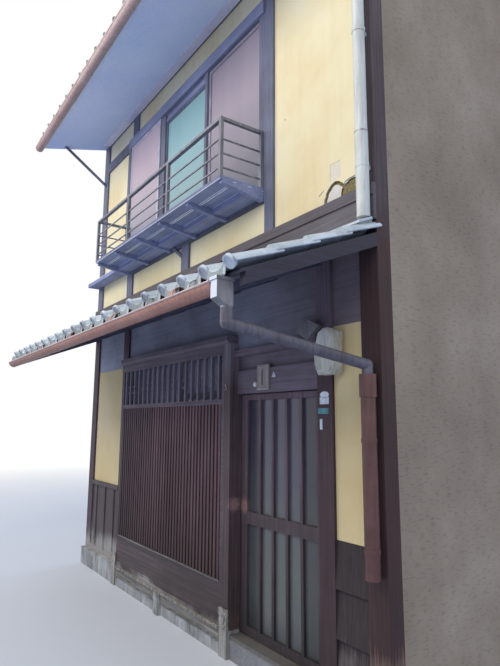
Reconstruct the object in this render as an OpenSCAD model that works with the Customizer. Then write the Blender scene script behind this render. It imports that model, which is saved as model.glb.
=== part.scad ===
// Two-storey machiya townhouse, one unit of a row, between two plain party walls.
// X runs along the street, +Y into the house, Z up. The origin is on the ground
// at the middle of the footprint. Depths at the front are counted from the outer
// face of the front posts: negative is towards the street, positive is indoors.

/* [House] */
// Distance between the centre lines of the two party posts
party_pitch = 4420; // [4300:10:4800]
// Outer face of the front posts to the outer face of the rear posts
house_depth = 7000; // [5600:50:9000]
// Width of a main post, along the street
post_w = 140; // [110:5:160]
// Depth of a main post, into the house
post_d = 105; // [95:5:130]
// Thickness of a party wall
party_wall_t = 120; // [90:5:140]
// Thickness of a plastered wall panel
plaster_t = 70; // [50:5:75]
// Depth of the plaster face behind the post faces
plaster_setback = 20; // [12:1:30]

/* [Base] */
// Height of the plinth
plinth_h = 180; // [170:5:240]
// How far the plinth stands in front of the posts
plinth_out = 46; // [35:1:60]
// Width of the plinth under a party wall
plinth_w = 156; // [150:2:200]
// Plinth behind the track of the door
plinth_lip = 12; // [8:1:24]
// Height of the ground floor slab
slab_h = 120; // [90:5:140]

/* [Storey heights] */
// Underside of the girth beam between the storeys
girth_foot = 2600; // [2500:10:2700]
// Height of the girth beam
girth_h = 250; // [180:10:300]
// How far the flashing board reaches above the girth beam
flashing_lap = 90; // [60:5:120]
// Top of the upper floor boards above the girth beam
floor_lift = 50; // [20:5:80]
// Thickness of the upper floor boards
floor_t = 30; // [20:1:40]
// Top of the girth beam to the underside of the wall plate
upper_storey_h = 2250; // [2150:10:2500]

/* [Door] */
// Right side of the doorway to the centre line of the right party post
door_inset = 442; // [400:2:520]
// Clear width of the doorway
door_clear_w = 902; // [860:2:960]
// How much of the doorway the open leaf still covers
leaf_stop = 42; // [36:1:80]
// Underside of the door head
door_head_z = 1806; // [1780:2:1880]
// Height of the board over the door
head_board_h = 169; // [120:1:200]
// Height of the recess above that board
head_recess_h = 108; // [80:1:130]
// Height of the rail above the recess
head_rail_h = 46; // [36:1:60]
// Top of the threshold
threshold_z = 155; // [145:1:170]
// Width and depth of the left jamb
left_jamb_w = 90; // [80:2:110]
// Width of the right jamb post
right_jamb_w = 129; // [110:1:150]
// Thickness of the door leaf
leaf_t = 33; // [28:1:36]
// Width of the leading stile of the leaf, by the left jamb
leaf_left_stile = 105; // [80:1:120]
// Width of the closing stile of the leaf
leaf_right_stile = 75; // [60:1:90]
// Height of the leaf's top rail
leaf_top_rail = 40; // [34:1:70]
// Height of the leaf's bottom rail
leaf_bottom_rail = 58; // [40:1:90]
// Underside of the leaf's middle rail
leaf_mid_z = 893; // [800:1:1000]
// Height of the leaf's middle rail
leaf_mid_rail = 84; // [60:1:110]
// Width of an upright bar of the leaf
leaf_bar_w = 24; // [16:1:32]
// Number of upright bars in the leaf
leaf_bars = 4; // [3:1:6]
// Thickness of a sheet of glass
glass_t = 4; // [3:1:6]
// Clearance round the sliding leaf
leaf_gap = 6; // [5:0.5:8]

/* [Lattice] */
// Top of the skirt board, where the lattice stands
skirt_top = 430; // [380:5:480]
// Thickness of the skirt board
skirt_t = 32; // [24:1:40]
// Depth of the lattice frame
lattice_d = 46; // [40:1:46]
// Height of the lattice sill rail
lattice_sill = 50; // [36:1:70]
// Underside of the rail between the two lattices
lattice_mid_z = 1732; // [1600:2:1800]
// Height of that rail
lattice_mid_rail = 38; // [28:1:60]
// Top of the upper lattice
lattice_top_z = 2108; // [2060:2:2140]
// Height of the lattice head rail
lattice_head = 76; // [60:1:90]
// Height of the moulding on the head rail
cap_h = 55; // [40:1:70]
// How far the moulding stands out
cap_out = 34; // [20:1:50]
// Width of the lattice stiles
lattice_stile = 30; // [20:1:50]
// Number of bars in the lower lattice
lower_bars = 38; // [30:1:44]
// Width of a bar of the lower lattice
lower_bar_w = 28; // [20:1:32]
// Number of bars in the upper lattice
upper_bars = 18; // [12:1:22]
// Width of a bar of the upper lattice
upper_bar_w = 24; // [16:1:30]
// Depth of a lattice bar
lattice_bar_d = 26; // [20:1:30]
// Thickness of the rails behind the bars
lattice_rail_t = 12; // [8:1:14]

/* [Wall panels] */
// Top of the boarding beside the lattice
left_board_top = 934; // [860:2:1000]
// Top of the boarding beside the door
right_board_top = 951; // [900:1:1040]
// Foot of the frieze boards
frieze_foot = 2170; // [2150:5:2200]
// Thickness of the frieze boards
frieze_t = 40; // [25:1:50]
// Thickness of the flashing board above the pent roof
flashing_t = 18; // [12:1:30]
// Thickness of the plaster behind the boarding
foot_plaster_t = 50; // [40:1:55]
// Width of an upright batten of the boarding
batten_w = 28; // [20:1:36]
// Height of the boarding's top rail
batten_rail_h = 44; // [34:1:60]
// Number of lapped boards beside the door
lapped = 3; // [2:1:5]

/* [Upper window] */
// Centre line of each window post, left and right of the middle
window_post_x = 1290; // [1280:5:1300]
// Underside of the window sill above the girth beam
sill_lift = 340; // [320:2:400]
// Height of the window sill
sill_h = 85; // [80:1:110]
// Underside of the window lintel below the wall plate
head_drop = 370; // [300:5:460]
// Height of the window lintel
lintel_h = 120; // [90:5:150]
// Depth of the window frame
window_frame_d = 60; // [50:2:80]
// Width of the right window post, upstairs
slim_post_w = 105; // [80:5:140]
// Left edge of the middle window field
field_mid_x0 = -500; // [-560:5:-460]
// Width of the middle window field
field_mid_w = 810; // [760:5:840]
// Width of the mullion left of the middle field
mullion_left_w = 100; // [80:5:140]
// Width of the mullion right of the middle field
mullion_right_w = 40; // [30:5:60]
// Width of the frame strip at the right post
window_right_strip = 70; // [50:5:90]

/* [Balcony] */
// How far the balcony passes the centre line of the left window post
balcony_past = 40; // [20:5:80]
// Length of the balcony
balcony_l = 2540; // [2460:5:2570]
// How far the balcony stands out
balcony_out = 375; // [340:5:420]
// How far the ledge along the wall stands out, beside the balcony and under its planks
ledge_out = 135; // [110:5:170]
// Thickness of that ledge
ledge_t = 45; // [30:1:60]
// Top of the balcony's planks above the window sill
floor_step = 25; // [10:1:40]
// Height of a balcony bearer at the wall
bearer_h = 78; // [60:1:90]
// Height of a bearer at its outer end
bearer_tip_h = 22; // [15:1:35]
// Outer end of a bearer behind the edge of the planks
bearer_back = 22; // [10:1:40]
// Width of a balcony bearer
bearer_w = 42; // [35:1:60]
// Number of bearers
bearers = 6; // [5:1:8]
// Thickness of the floor planks
plank_t = 25; // [20:1:30]
// Gap between the floor planks
plank_gap = 12; // [8:1:20]
// Height of the railing above the floor
rail_h = 447; // [400:2:520]
// Width of a railing post
rail_post_w = 26; // [18:1:30]
// Width of a thin railing bar
rail_bar_w = 10; // [8:1:14]
// Number of thin bars under the top rail
rail_bars = 3; // [2:1:3]
// Pitch of the thin bars
rail_pitch = 108; // [95:1:116]
// Height of the lowest bar above the floor
rail_first = 68; // [55:1:80]
// Number of posts along the front
rail_posts = 4; // [3:1:6]

/* [Pent roof] */
// Underside of the pent roof deck at the wall, above the foot of the girth beam
pent_lift = 30; // [10:5:60]
// Fall of the pent roof for each unit of run
pent_slope = 0.40; // [0.34:0.01:0.46]
// How far the rafters reach out
pent_rafter_out = 880; // [800:5:900]
// Thickness of the pent roof deck
pent_deck_t = 18; // [12:1:25]
// Deck of the pent roof to the top of the rolls of its tiles
pent_tile_t = 80; // [70:1:90]
// How far the tiles reach past the rafters
pent_tile_out = 45; // [30:1:55]
// Width of a pent rafter
rafter_w = 45; // [36:1:60]
// Height of a pent rafter
rafter_h = 62; // [50:1:75]
// Number of pent rafters on each side
rafters = 11; // [8:1:14]
// Outer radius of the pent roof gutter
gutter_r = 50; // [45:1:58]
// Lip of the gutter below the underside of the deck, at the tiles' edge
gutter_drop = 14; // [6:1:24]
// Thickness of a gutter's sheet
gutter_t = 3; // [2:0.5:4]

/* [Main roof] */
// How far the main eaves reach out
eave_out = 780; // [700:10:860]
// Underside of the deck at the eave, below the foot of the wall plate
eave_drop = 200; // [160:5:230]
// Rise of the main roof for each unit of run
roof_slope = 0.35; // [0.30:0.01:0.42]
// Thickness of the main roof deck
roof_deck_t = 30; // [20:1:40]
// Deck of the main roof to the top of the rolls of its tiles
roof_tile_t = 75; // [68:1:90]
// How far the tiles reach past the deck
roof_tile_out = 22; // [15:1:30]
// Thickness of the soffit boards
soffit_t = 12; // [9:1:15]
// Outer radius of the eave gutter
eave_gutter_r = 45; // [40:1:50]
// Lip of the eave gutter below the deck at the eave
eave_gutter_drop = 28; // [22:1:40]
// Width of the ridge
ridge_w = 230; // [180:5:280]
// Height of the ridge tiles above the roof tiles
ridge_h = 190; // [140:5:240]

/* [Roof tiles] */
// Number of tile rolls across the roofs
tile_rolls = 20; // [16:1:22]
// Thickness of the tiles and their bed between the rolls
tile_pan_t = 34; // [26:1:40]
// Width of a roll of tiles
tile_roll_w = 100; // [80:2:120]
// Width of the flat course of tiles along the head of a pent roof
head_course_w = 110; // [80:5:150]

/* [Rainwater pipes] */
// Centre line of the lower downpipe to the end of the house
pipe_edge = 52; // [50:1:70]
// Centre line of the lower downpipe to that of the hopper
hopper_shift = 68; // [56:1:80]
// Width of the hopper, along the gutter
hopper_w = 56; // [50:1:70]
// Depth of the hopper, across the gutter
hopper_d = 90; // [80:1:100]
// Height of the hopper
hopper_h = 134; // [120:1:150]
// Height of the hopper's tapering foot
hopper_taper = 34; // [20:1:50]
// How far the hopper stands above the gutter's lip
hopper_lift = 18; // [8:1:22]
// How far the hopper's rim stands out
hopper_rim = 5; // [3:1:8]
// Centre of the hopper to that of its pipe, towards the wall
outlet_back = 26; // [10:1:34]
// Radius of the hopper's pipe
hopper_pipe_r = 30; // [26:1:32]
// Length of the upright pipe under the hopper, down to its elbow
leader_h = 76; // [60:2:120]
// Fall of the sloping pipe from that elbow to the top of the funnel
leader_drop = 196; // [150:2:230]
// Radius of the lower downpipe
lower_pipe_r = 40; // [34:1:44]
// Radius of the funnel on the lower downpipe
funnel_r = 46; // [46:1:50]
// Height of the funnel
funnel_h = 122; // [100:2:140]
// Foot of the lower downpipe
lower_pipe_foot = 820; // [760:5:880]
// Radius of the upper downpipe
upper_pipe_r = 37; // [32:1:42]
// Centre line of the upper downpipe to the end of the house
upper_pipe_edge = 40; // [39:1:60]
// Foot of the upper downpipe's joint above the pent roof
joint_lift = 520; // [400:10:700]
// Height of the bend of the upper downpipe, from the wall out to the gutter
bend_h = 200; // [150:5:260]
// Clearance between a pipe and the wall behind it
pipe_gap = 12; // [8:1:20]

/* [Fittings] */
// Right edge of the electric meter's board to the centre line of the right party post
meter_inset = 218; // [205:1:240]
// Foot of the meter's board
meter_z = 1888; // [1880:2:1900]
// Width of the meter's board
meter_board_w = 150; // [140:2:160]
// Height of the meter's board
meter_board_h = 240; // [220:2:250]
// Width of the meter's housing
meter_w = 164; // [150:2:176]
// How far the meter's housing stands out from the posts
meter_out = 92; // [80:2:110]
// Radius of the eave strut
strut_r = 17; // [12:1:20]
// How far out the strut meets the soffit
strut_out = 530; // [450:5:600]
// Foot of the strut below the wall plate
strut_drop = 520; // [440:5:600]

/* [Rear wall] */
// Centre line of each inner rear post, left and right of the middle
rear_post_x = 740; // [700:5:900]
// Underside of the lower rear window's lintel
rear_lower_head = 1894; // [1800:2:2000]
// Height of the lower rear window's sill
rear_sill_h = 60; // [40:1:80]
// Width of a stile of a rear window
rear_stile = 50; // [36:1:70]

/* [Hidden] */
$fn = 48;

half_w = party_pitch / 2 + post_w / 2;          // outer face of a party wall
bay_x = party_pitch / 2 - post_w / 2;           // inner face of a party post
wall_in_x = half_w - party_wall_t;              // inner face of a party wall
window_x = window_post_x - post_w / 2;          // inner face of a window post
window_out_x = window_post_x + post_w / 2;      // outer face of the left window post
slim_post_x = window_x + slim_post_w;           // outer face of the right window post
front_y = -house_depth / 2;                     // outer face of the front posts
plaster_back = plaster_setback + plaster_t;     // back of a plaster panel
boarding_back = plaster_back - foot_plaster_t;  // back of the boarding at its foot

girth_top = girth_foot + girth_h;
upper_foot = girth_top + flashing_lap;         // foot of the upper plaster that shows
upper_floor_z = girth_top + floor_lift;
plate_foot = girth_top + upper_storey_h;        // underside of the wall plate

door_right_x = party_pitch / 2 - door_inset;    // left face of the right jamb
door_left_x = door_right_x - door_clear_w;      // right face of the left jamb
jamb_left_x = door_left_x - left_jamb_w;        // left face of the left jamb
jamb_right_x = door_right_x + right_jamb_w;     // right face of the right jamb
jamb_back = 54;                                 // back face of the left jamb
head_board_top = door_head_z + head_board_h;
head_rail_foot = head_board_top + head_recess_h;
head_rail_top = head_rail_foot + head_rail_h;
head_rail_out = 15;                             // how far that rail stands out
leaf_y = jamb_back + leaf_gap;                  // street face of the leaf
leaf_overlap = 28;                              // leaf hidden behind the left jamb
leaf_x0 = door_left_x - leaf_overlap;
leaf_x1 = door_right_x - leaf_gap + 1;
leaf_z0 = threshold_z + leaf_gap - 1;
leaf_z1 = door_head_z - leaf_gap;
leaf_bar_d = 18;                                // depth of the leaf's bars
runner_w = 6;                                   // metal rail that the leaf runs on
seat_gap = 0.3;                                 // between pieces that rest on each other
leaf_travel = door_clear_w - leaf_stop;         // how far the leaf slides to the left
track_x0 = leaf_x0 - leaf_travel - 40;          // left end of the leaf's tracks
track_y0 = jamb_back + 2;
track_y1 = leaf_y + leaf_t + 5;
track_h = 40;                                   // height of the upper track
plinth_in = track_y1 + plinth_lip;              // back face of the front plinth

lattice_x0 = -window_x;                         // left end of the lattice
lattice_x1 = jamb_left_x;                       // right end of the lattice
lattice_clear = lattice_x1 - lattice_x0 - 2 * lattice_stile;
lattice_head_z = lattice_top_z + lattice_head;  // top of the head rail
cap_top = lattice_head_z + cap_h;
screen_top = lattice_head_z + 116;              // top of the screen indoors
screen_d = 30;                                  // depth of that screen
screen_stile = 50;
screen_head = 60;
screen_w = door_left_x - lattice_x0;
screen_field = (screen_w - 3 * screen_stile) / 2;

window_sill_foot = girth_top + sill_lift;
window_sill_z = window_sill_foot + sill_h;
window_head_z = plate_foot - head_drop;         // underside of the lintel
lintel_top = window_head_z + lintel_h;
balcony_z = window_sill_z + floor_step;         // top of the balcony floor
balcony_x0 = -window_post_x - balcony_past;
balcony_x1 = balcony_x0 + balcony_l;
plank_foot = balcony_z - plank_t;               // underside of the planks

pent_wall_z = girth_foot + pent_lift;           // underside of the pent roof deck at the wall
pent_deck_end = pent_rafter_out + 25;
pent_tile_end = pent_rafter_out + pent_tile_out;
gutter_lip_z = pent_wall_z - pent_slope * pent_tile_end - gutter_drop;
gutter_y = pent_rafter_out + gutter_r;          // centre of the pent gutter, outwards
gutter_back_h = 28;                             // height of its flat back
eave_z = plate_foot - eave_drop;                // underside of the roof deck at the eave
eave_gutter_z = eave_z - eave_gutter_drop;
eave_gutter_y = eave_out + eave_gutter_r;
eave_gutter_back_h = 50;

pipe_x = half_w - pipe_edge;
upper_pipe_x = half_w - upper_pipe_edge;
hopper_x = pipe_x - hopper_shift;
gutter_end_x = hopper_x - hopper_w / 2 - hopper_rim - 2; // right end of the front gutter
hopper_neck = gutter_lip_z + hopper_lift - hopper_h;
elbow_z = hopper_neck - leader_h;
funnel_z = elbow_z - leader_drop;               // top of the funnel
bracket_h = 24;                                 // height of a pipe bracket
stem_w = 16;                                    // width of a bracket's stem
meter_x = party_pitch / 2 - meter_inset - meter_board_w;
strut_foot = plate_foot - strut_drop;
rear_bay = rear_post_x - post_w / 2;            // inner face of an inner rear post
rear_out = rear_post_x + post_w / 2;            // outer face of an inner rear post
rear_lower_sill = left_board_top;

// Underside of the pent roof deck, a distance out from the post faces
function pent_z(out) = pent_wall_z - pent_slope * out;
// Underside of the main roof deck, a distance out from the post faces
function deck_z(out) = eave_z + roof_slope * (eave_out - out);
// Top of the pent roof tiles, a distance out from the post faces
function pent_top_z(out) = pent_z(out) + pent_deck_t + pent_tile_t;

// Moves what is drawn from the front post faces to its place
module at_front() {
    translate([0, front_y, 0]) children();
}

// Draws a piece at the front and again, mirrored, at the rear
module front_and_rear() {
    at_front() children();
    mirror([0, 1, 0]) at_front() children();
}

module rear() {
    mirror([0, 1, 0]) at_front() children();
}

// A box from one corner to the opposite one
module block(p, q) {
    translate(p) cube(q - p);
}

// A profile in depth and height, run along the street from x0 to x1
module run_x(x0, x1) {
    translate([x0, 0, 0]) rotate([90, 0, 90]) linear_extrude(x1 - x0) children();
}

// A drawing in x and height, given a thickness from y0 to y1
module slab_y(y0, y1) {
    translate([0, y1, 0]) rotate([90, 0, 0]) linear_extrude(y1 - y0) children();
}

// A round bar from one point to another
module rod(p, q, r) {
    d = q - p;
    translate(p) rotate([0, acos(d[2] / norm(d)), atan2(d[1], d[0])]) cylinder(h = norm(d), r = r);
}

// Base

module plinth() {
    color("#b9b4a8") difference() {
        block([-half_w, front_y - plinth_out, 0], [half_w, -front_y + plinth_out, plinth_h]);
        block([-half_w + plinth_w, front_y + plinth_in, -1],
            [half_w - plinth_w, -front_y - plinth_in, plinth_h + 1]);
        at_front() block([door_left_x, -plinth_out - 1, -1], [door_right_x, plinth_in + 1, plinth_h + 1]);
        at_front() block([track_x0, jamb_back, slab_h], [door_left_x + 1, plinth_in + 1, plinth_h + 1]);
    }
}

module ground_floor() {
    color("#8b8579")
    block([-half_w + plinth_w, front_y + plinth_in, 0], [half_w - plinth_w, -front_y - plinth_in, slab_h]);
}

module threshold() {
    color("#a9a399") at_front() {
        block([door_left_x, -plinth_out + 14, 0], [door_right_x, plinth_in, threshold_z]);
        block([track_x0, track_y0, slab_h], [door_left_x + 10, track_y1, threshold_z]);
        block([track_x0, leaf_y + leaf_t / 2 - runner_w / 2, threshold_z - 1],
            [door_right_x, leaf_y + leaf_t / 2 + runner_w / 2, leaf_z0 - seat_gap]);
    }
}

// Walls and posts

module party_wall_profile() {
    polygon([[front_y + post_d, plinth_h], [-front_y - post_d, plinth_h],
        [-front_y - post_d, deck_z(-post_d)], [0, deck_z(front_y)], [front_y + post_d, deck_z(-post_d)]]);
}

module left_party_wall() {
    color("#a2937c") run_x(-half_w, -wall_in_x) party_wall_profile();
}

module right_party_wall() {
    color("#a2937c") run_x(wall_in_x, half_w) party_wall_profile();
}

module post(x, z0, z1) {
    block([x - post_w / 2, 0, z0], [x + post_w / 2, post_d, z1]);
}

module front_posts() {
    color("#3a3336") at_front() {
        post(-party_pitch / 2, plinth_h, plate_foot);
        post(-window_post_x, plinth_h, plate_foot);
        post(party_pitch / 2, plinth_h, plate_foot);
        block([window_x, 0, girth_top], [slim_post_x, post_d, plate_foot]);
        post(0, girth_top, window_sill_foot);
    }
}

module door_jambs() {
    color("#4a3430") at_front() {
        block([jamb_left_x, -plinth_out, plinth_h], [door_left_x, jamb_back, lattice_head_z]);
        block([door_right_x, 0, plinth_h], [jamb_right_x, post_d, girth_foot]);
    }
}

module rear_posts() {
    color("#3a3336") rear() {
        for (s = [-1, 1]) {
            post(s * party_pitch / 2, plinth_h, plate_foot);
            post(s * rear_post_x, plinth_h, plate_foot);
        }
    }
}

// Boards in a frame: a backing sheet with a top rail, a foot rail and upright battens
module batten_panel(x0, x1, top, battens) {
    face = plaster_setback - 5;
    foot_h = batten_rail_h + 6;
    pitch = (x1 - x0) / battens;
    block([x0, face, plinth_h], [x1, boarding_back, top]);
    block([x0, -4, top - batten_rail_h], [x1, face + 1, top]);
    block([x0, 2, plinth_h], [x1, face + 1, plinth_h + foot_h]);
    for (i = [0 : battens - 1]) {
        x = x0 + (i + 0.5) * pitch;
        block([x - batten_w / 2, 3, plinth_h + foot_h - 1],
            [x + batten_w / 2, face + 1, top - batten_rail_h + 1]);
    }
}

// Lapped boards: each board leans out over the one below it
module lapped_boards(x0, x1, top) {
    pitch = (top - plinth_h) / lapped;
    run_x(x0, x1) polygon(concat(
        [for (i = [0 : lapped - 1], j = [0, 1]) [j == 0 ? 0 : plaster_setback, plinth_h + (i + j) * pitch]],
        [[boarding_back, top], [boarding_back, plinth_h]]));
}

module front_wainscots() {
    color("#5b514b") at_front() {
        batten_panel(-bay_x, -window_out_x, left_board_top, 3);
        lapped_boards(jamb_right_x, bay_x, right_board_top);
    }
}

// Plaster that is thinner behind the boarding at its foot
module plaster_bay(x0, x1, boards_top, top) {
    run_x(x0, x1) polygon([[boarding_back, plinth_h], [plaster_back, plinth_h], [plaster_back, top],
        [plaster_setback, top], [plaster_setback, boards_top], [boarding_back, boards_top]]);
}

module lower_plaster() {
    color("#dcc98c") at_front() {
        plaster_bay(-bay_x, -window_out_x, left_board_top, frieze_foot);
        plaster_bay(jamb_right_x, bay_x, right_board_top, frieze_foot);
    }
}

module plaster_block(x0, x1, z0, z1) {
    block([x0, plaster_setback, z0], [x1, plaster_back, z1]);
}

module upper_plaster() {
    color("#e6d59c") at_front() {
        plaster_block(-bay_x, -window_out_x, girth_top, window_head_z);
        plaster_block(-bay_x, -window_out_x, lintel_top, plate_foot);
        plaster_block(slim_post_x, bay_x, girth_top, plate_foot);
        plaster_block(-window_x, -post_w / 2, girth_top, window_sill_foot);
        plaster_block(post_w / 2, window_x, girth_top, window_sill_foot);
        plaster_block(-window_x, window_x, lintel_top, plate_foot);
    }
}

// Stepped boards over the lattice and the door, and plain ones over the plaster
module frieze_boards() {
    y1 = plaster_setback + frieze_t;
    color("#39343a") at_front() {
        block([-bay_x, plaster_setback, frieze_foot], [-window_out_x, y1, girth_foot]);
        slab_y(plaster_setback, y1) polygon([[lattice_x0, lattice_head_z], [door_left_x, lattice_head_z],
            [door_left_x, head_rail_top], [door_right_x, head_rail_top],
            [door_right_x, girth_foot], [lattice_x0, girth_foot]]);
        block([jamb_right_x, plaster_setback, frieze_foot], [bay_x, y1, girth_foot]);
    }
}

// Girth beams between the storeys and wall plates under the eaves
module wall_beams() {
    color("#37333a") {
        at_front() {
            block([-bay_x, 0, girth_foot], [-window_out_x, post_d, girth_top]);
            block([-window_x, 0, girth_foot], [bay_x, post_d, girth_top]);
        }
        rear() {
            for (x = [[-bay_x, -rear_out], [-rear_bay, rear_bay], [rear_out, bay_x]]) {
                block([x[0], 0, girth_foot], [x[1], post_d, girth_top]);
            }
        }
        front_and_rear() run_x(-half_w, half_w) polygon([[0, plate_foot], [post_d, plate_foot],
            [post_d, deck_z(-post_d)], [0, deck_z(0)]]);
    }
}

module flashing_boards() {
    color("#34323c") front_and_rear()
    block([-half_w, -flashing_t, pent_top_z(0)], [half_w, 0, upper_foot]);
}

// Lattice

module lattice_frame() {
    foot = skirt_top;
    color("#4b3b38") at_front() {
        slab_y(-plinth_out, -plinth_out + lattice_d) difference() {
            translate([lattice_x0, foot])
            square([lattice_x1 - lattice_x0, lattice_head_z - foot]);
            translate([lattice_x0 + lattice_stile, foot + lattice_sill])
            square([lattice_clear, lattice_mid_z - foot - lattice_sill]);
            translate([lattice_x0 + lattice_stile, lattice_mid_z + lattice_mid_rail])
            square([lattice_clear, lattice_top_z - lattice_mid_z - lattice_mid_rail]);
        }
        run_x(lattice_x0, door_left_x) polygon([[plaster_setback, cap_top - cap_h],
            [plaster_setback, cap_top], [-plinth_out - cap_out, cap_top],
            [-plinth_out - cap_out, cap_top - cap_h * 0.6], [-plinth_out - cap_out / 2, cap_top - cap_h]]);
    }
}

module skirt_board() {
    color("#6d5d52") at_front()
    block([lattice_x0, -plinth_out, plinth_h], [lattice_x1, -plinth_out + skirt_t, skirt_top]);
}

// Upright bars with thin rails behind them, all one piece
module bar_screen(bars, bar_w, z0, z1, rails) {
    x0 = lattice_x0 + lattice_stile;
    pitch = lattice_clear / bars;
    for (i = [0 : bars - 1]) {
        x = x0 + (i + 0.5) * pitch;
        block([x - bar_w / 2, -plinth_out, z0], [x + bar_w / 2, -plinth_out + lattice_bar_d, z1]);
    }
    for (r = rails) {
        block([x0, -plinth_out + lattice_bar_d - 1, r[0]],
            [x0 + lattice_clear, -plinth_out + lattice_bar_d - 1 + lattice_rail_t, r[1]]);
    }
}

module lattice_lower() {
    z0 = skirt_top + lattice_sill;
    z1 = lattice_mid_z;
    color("#6b4a40") at_front() bar_screen(lower_bars, lower_bar_w, z0, z1,
        [for (i = [1 : 3]) let (z = z0 + (z1 - z0) * i / 4) [z - 16, z + 16]]);
}

module lattice_upper() {
    z0 = lattice_mid_z + lattice_mid_rail;
    z1 = lattice_top_z;
    mid = (z0 + z1) / 2 - 18;
    color("#54443f") at_front() bar_screen(upper_bars, upper_bar_w, z0, z1,
        [[mid - 40, mid - 22], [mid + 22, mid + 40]]);
}

// Glazed screen indoors, behind the lattice and the open door's place
module inner_screen() {
    color("#5a4036") at_front() slab_y(plinth_in, plinth_in + screen_d) difference() {
        translate([lattice_x0, slab_h]) square([screen_w, screen_top - slab_h]);
        for (i = [0, 1]) {
            translate([lattice_x0 + screen_stile + i * (screen_field + screen_stile), skirt_top])
            square([screen_field, screen_top - screen_head - skirt_top]);
        }
    }
}

module screen_glass() {
    y0 = plinth_in + (screen_d - glass_t) / 2;
    color([0.6, 0.68, 0.7, 0.4]) at_front() for (i = [0, 1]) {
        x0 = lattice_x0 + screen_stile + i * (screen_field + screen_stile);
        block([x0, y0, skirt_top], [x0 + screen_field, y0 + glass_t, screen_top - screen_head]);
    }
}

// Doorway and door

module door_head() {
    board_y = 15;
    recess_y = 45;
    rail_y = -head_rail_out;
    color("#453834") at_front() {
        run_x(door_left_x, door_right_x) polygon([[board_y, door_head_z], [track_y1, door_head_z],
            [track_y1, head_rail_top], [rail_y, head_rail_top], [rail_y, head_rail_foot],
            [recess_y, head_rail_foot], [recess_y, head_board_top], [board_y, head_board_top]]);
        block([track_x0, track_y0, door_head_z], [door_left_x + 10, track_y1, door_head_z + track_h]);
    }
}

module front_door() {
    x0 = leaf_x0 + leaf_left_stile;
    x1 = leaf_x1 - leaf_right_stile;
    pitch = (x1 - x0) / (leaf_bars + 1);
    color("#5e4540") at_front() {
        slab_y(leaf_y, leaf_y + leaf_t) difference() {
            translate([leaf_x0, leaf_z0]) square([leaf_x1 - leaf_x0, leaf_z1 - leaf_z0]);
            translate([x0, leaf_z0 + leaf_bottom_rail])
            square([x1 - x0, leaf_mid_z - leaf_z0 - leaf_bottom_rail]);
            translate([x0, leaf_mid_z + leaf_mid_rail])
            square([x1 - x0, leaf_z1 - leaf_top_rail - leaf_mid_z - leaf_mid_rail]);
        }
        for (i = [1 : leaf_bars]) {
            block([x0 + i * pitch - leaf_bar_w / 2, leaf_y, leaf_z0 + 1],
                [x0 + i * pitch + leaf_bar_w / 2, leaf_y + leaf_bar_d, leaf_z1 - 1]);
        }
    }
}

module door_glass() {
    x0 = leaf_x0 + leaf_left_stile;
    x1 = leaf_x1 - leaf_right_stile;
    y0 = leaf_y + leaf_bar_d + 1;
    color([0.55, 0.62, 0.64, 0.5]) at_front() {
        block([x0, y0, leaf_z0 + leaf_bottom_rail], [x1, y0 + glass_t, leaf_mid_z]);
        block([x0, y0, leaf_mid_z + leaf_mid_rail], [x1, y0 + glass_t, leaf_z1 - leaf_top_rail]);
    }
}

// Upper window

window_fields = [[-window_x, field_mid_x0 - mullion_left_w],
    [field_mid_x0, field_mid_x0 + field_mid_w],
    [field_mid_x0 + field_mid_w + mullion_right_w, window_x - window_right_strip]];

module window_frame() {
    color("#3c3942") at_front() {
        slab_y(0, window_frame_d) difference() {
            translate([-window_x, window_sill_foot])
            square([2 * window_x, lintel_top - window_sill_foot]);
            for (f = window_fields) {
                translate([f[0], window_sill_z]) square([f[1] - f[0], window_head_z - window_sill_z]);
            }
        }
        block([-bay_x, 0, window_head_z], [-window_out_x, window_frame_d, lintel_top]);
    }
}

module window_panes() {
    color("#9f8f98") at_front() for (f = window_fields) {
        block([f[0], window_frame_d / 2, window_sill_z],
            [f[1], window_frame_d / 2 + glass_t, window_head_z]);
    }
}

// Balcony

module balcony_floor() {
    planks = 3;
    plank_w = (balcony_out - 2 * plank_gap) / planks;
    pitch = (balcony_l - bearer_w) / (bearers - 1);
    color("#40404a") at_front() {
        for (i = [0 : planks - 1]) {
            y = -balcony_out + i * (plank_w + plank_gap);
            block([balcony_x0, y, balcony_z - plank_t], [balcony_x1, y + plank_w, balcony_z]);
        }
        for (i = [0 : bearers - 1]) {
            x = balcony_x0 + i * pitch;
            run_x(x, x + bearer_w) polygon([[0, plank_foot + 1], [0, plank_foot - bearer_h],
                [bearer_back - balcony_out, plank_foot - bearer_tip_h],
                [bearer_back - balcony_out, plank_foot + 1]]);
        }
        block([-half_w, -ledge_out, plank_foot - ledge_t], [balcony_x1, 0, plank_foot + 1]);
    }
}

module balcony_railing() {
    y = -balcony_out;
    top = balcony_z + rail_h;
    pitch = (balcony_l - rail_post_w) / (rail_posts - 1);
    color("#6a6468") at_front() {
        for (i = [0 : rail_posts - 1]) {
            x = balcony_x0 + i * pitch;
            block([x, y, balcony_z], [x + rail_post_w, y + rail_post_w, top]);
        }
        block([balcony_x0, y, top - 22], [balcony_x1, y + 32, top]);
        for (i = [0 : rail_bars - 1]) {
            z = balcony_z + rail_first + i * rail_pitch - rail_bar_w / 2;
            block([balcony_x0 + 1, y + 5, z], [balcony_x1 - 1, y + 5 + rail_bar_w, z + rail_bar_w]);
        }
    }
}

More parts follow.
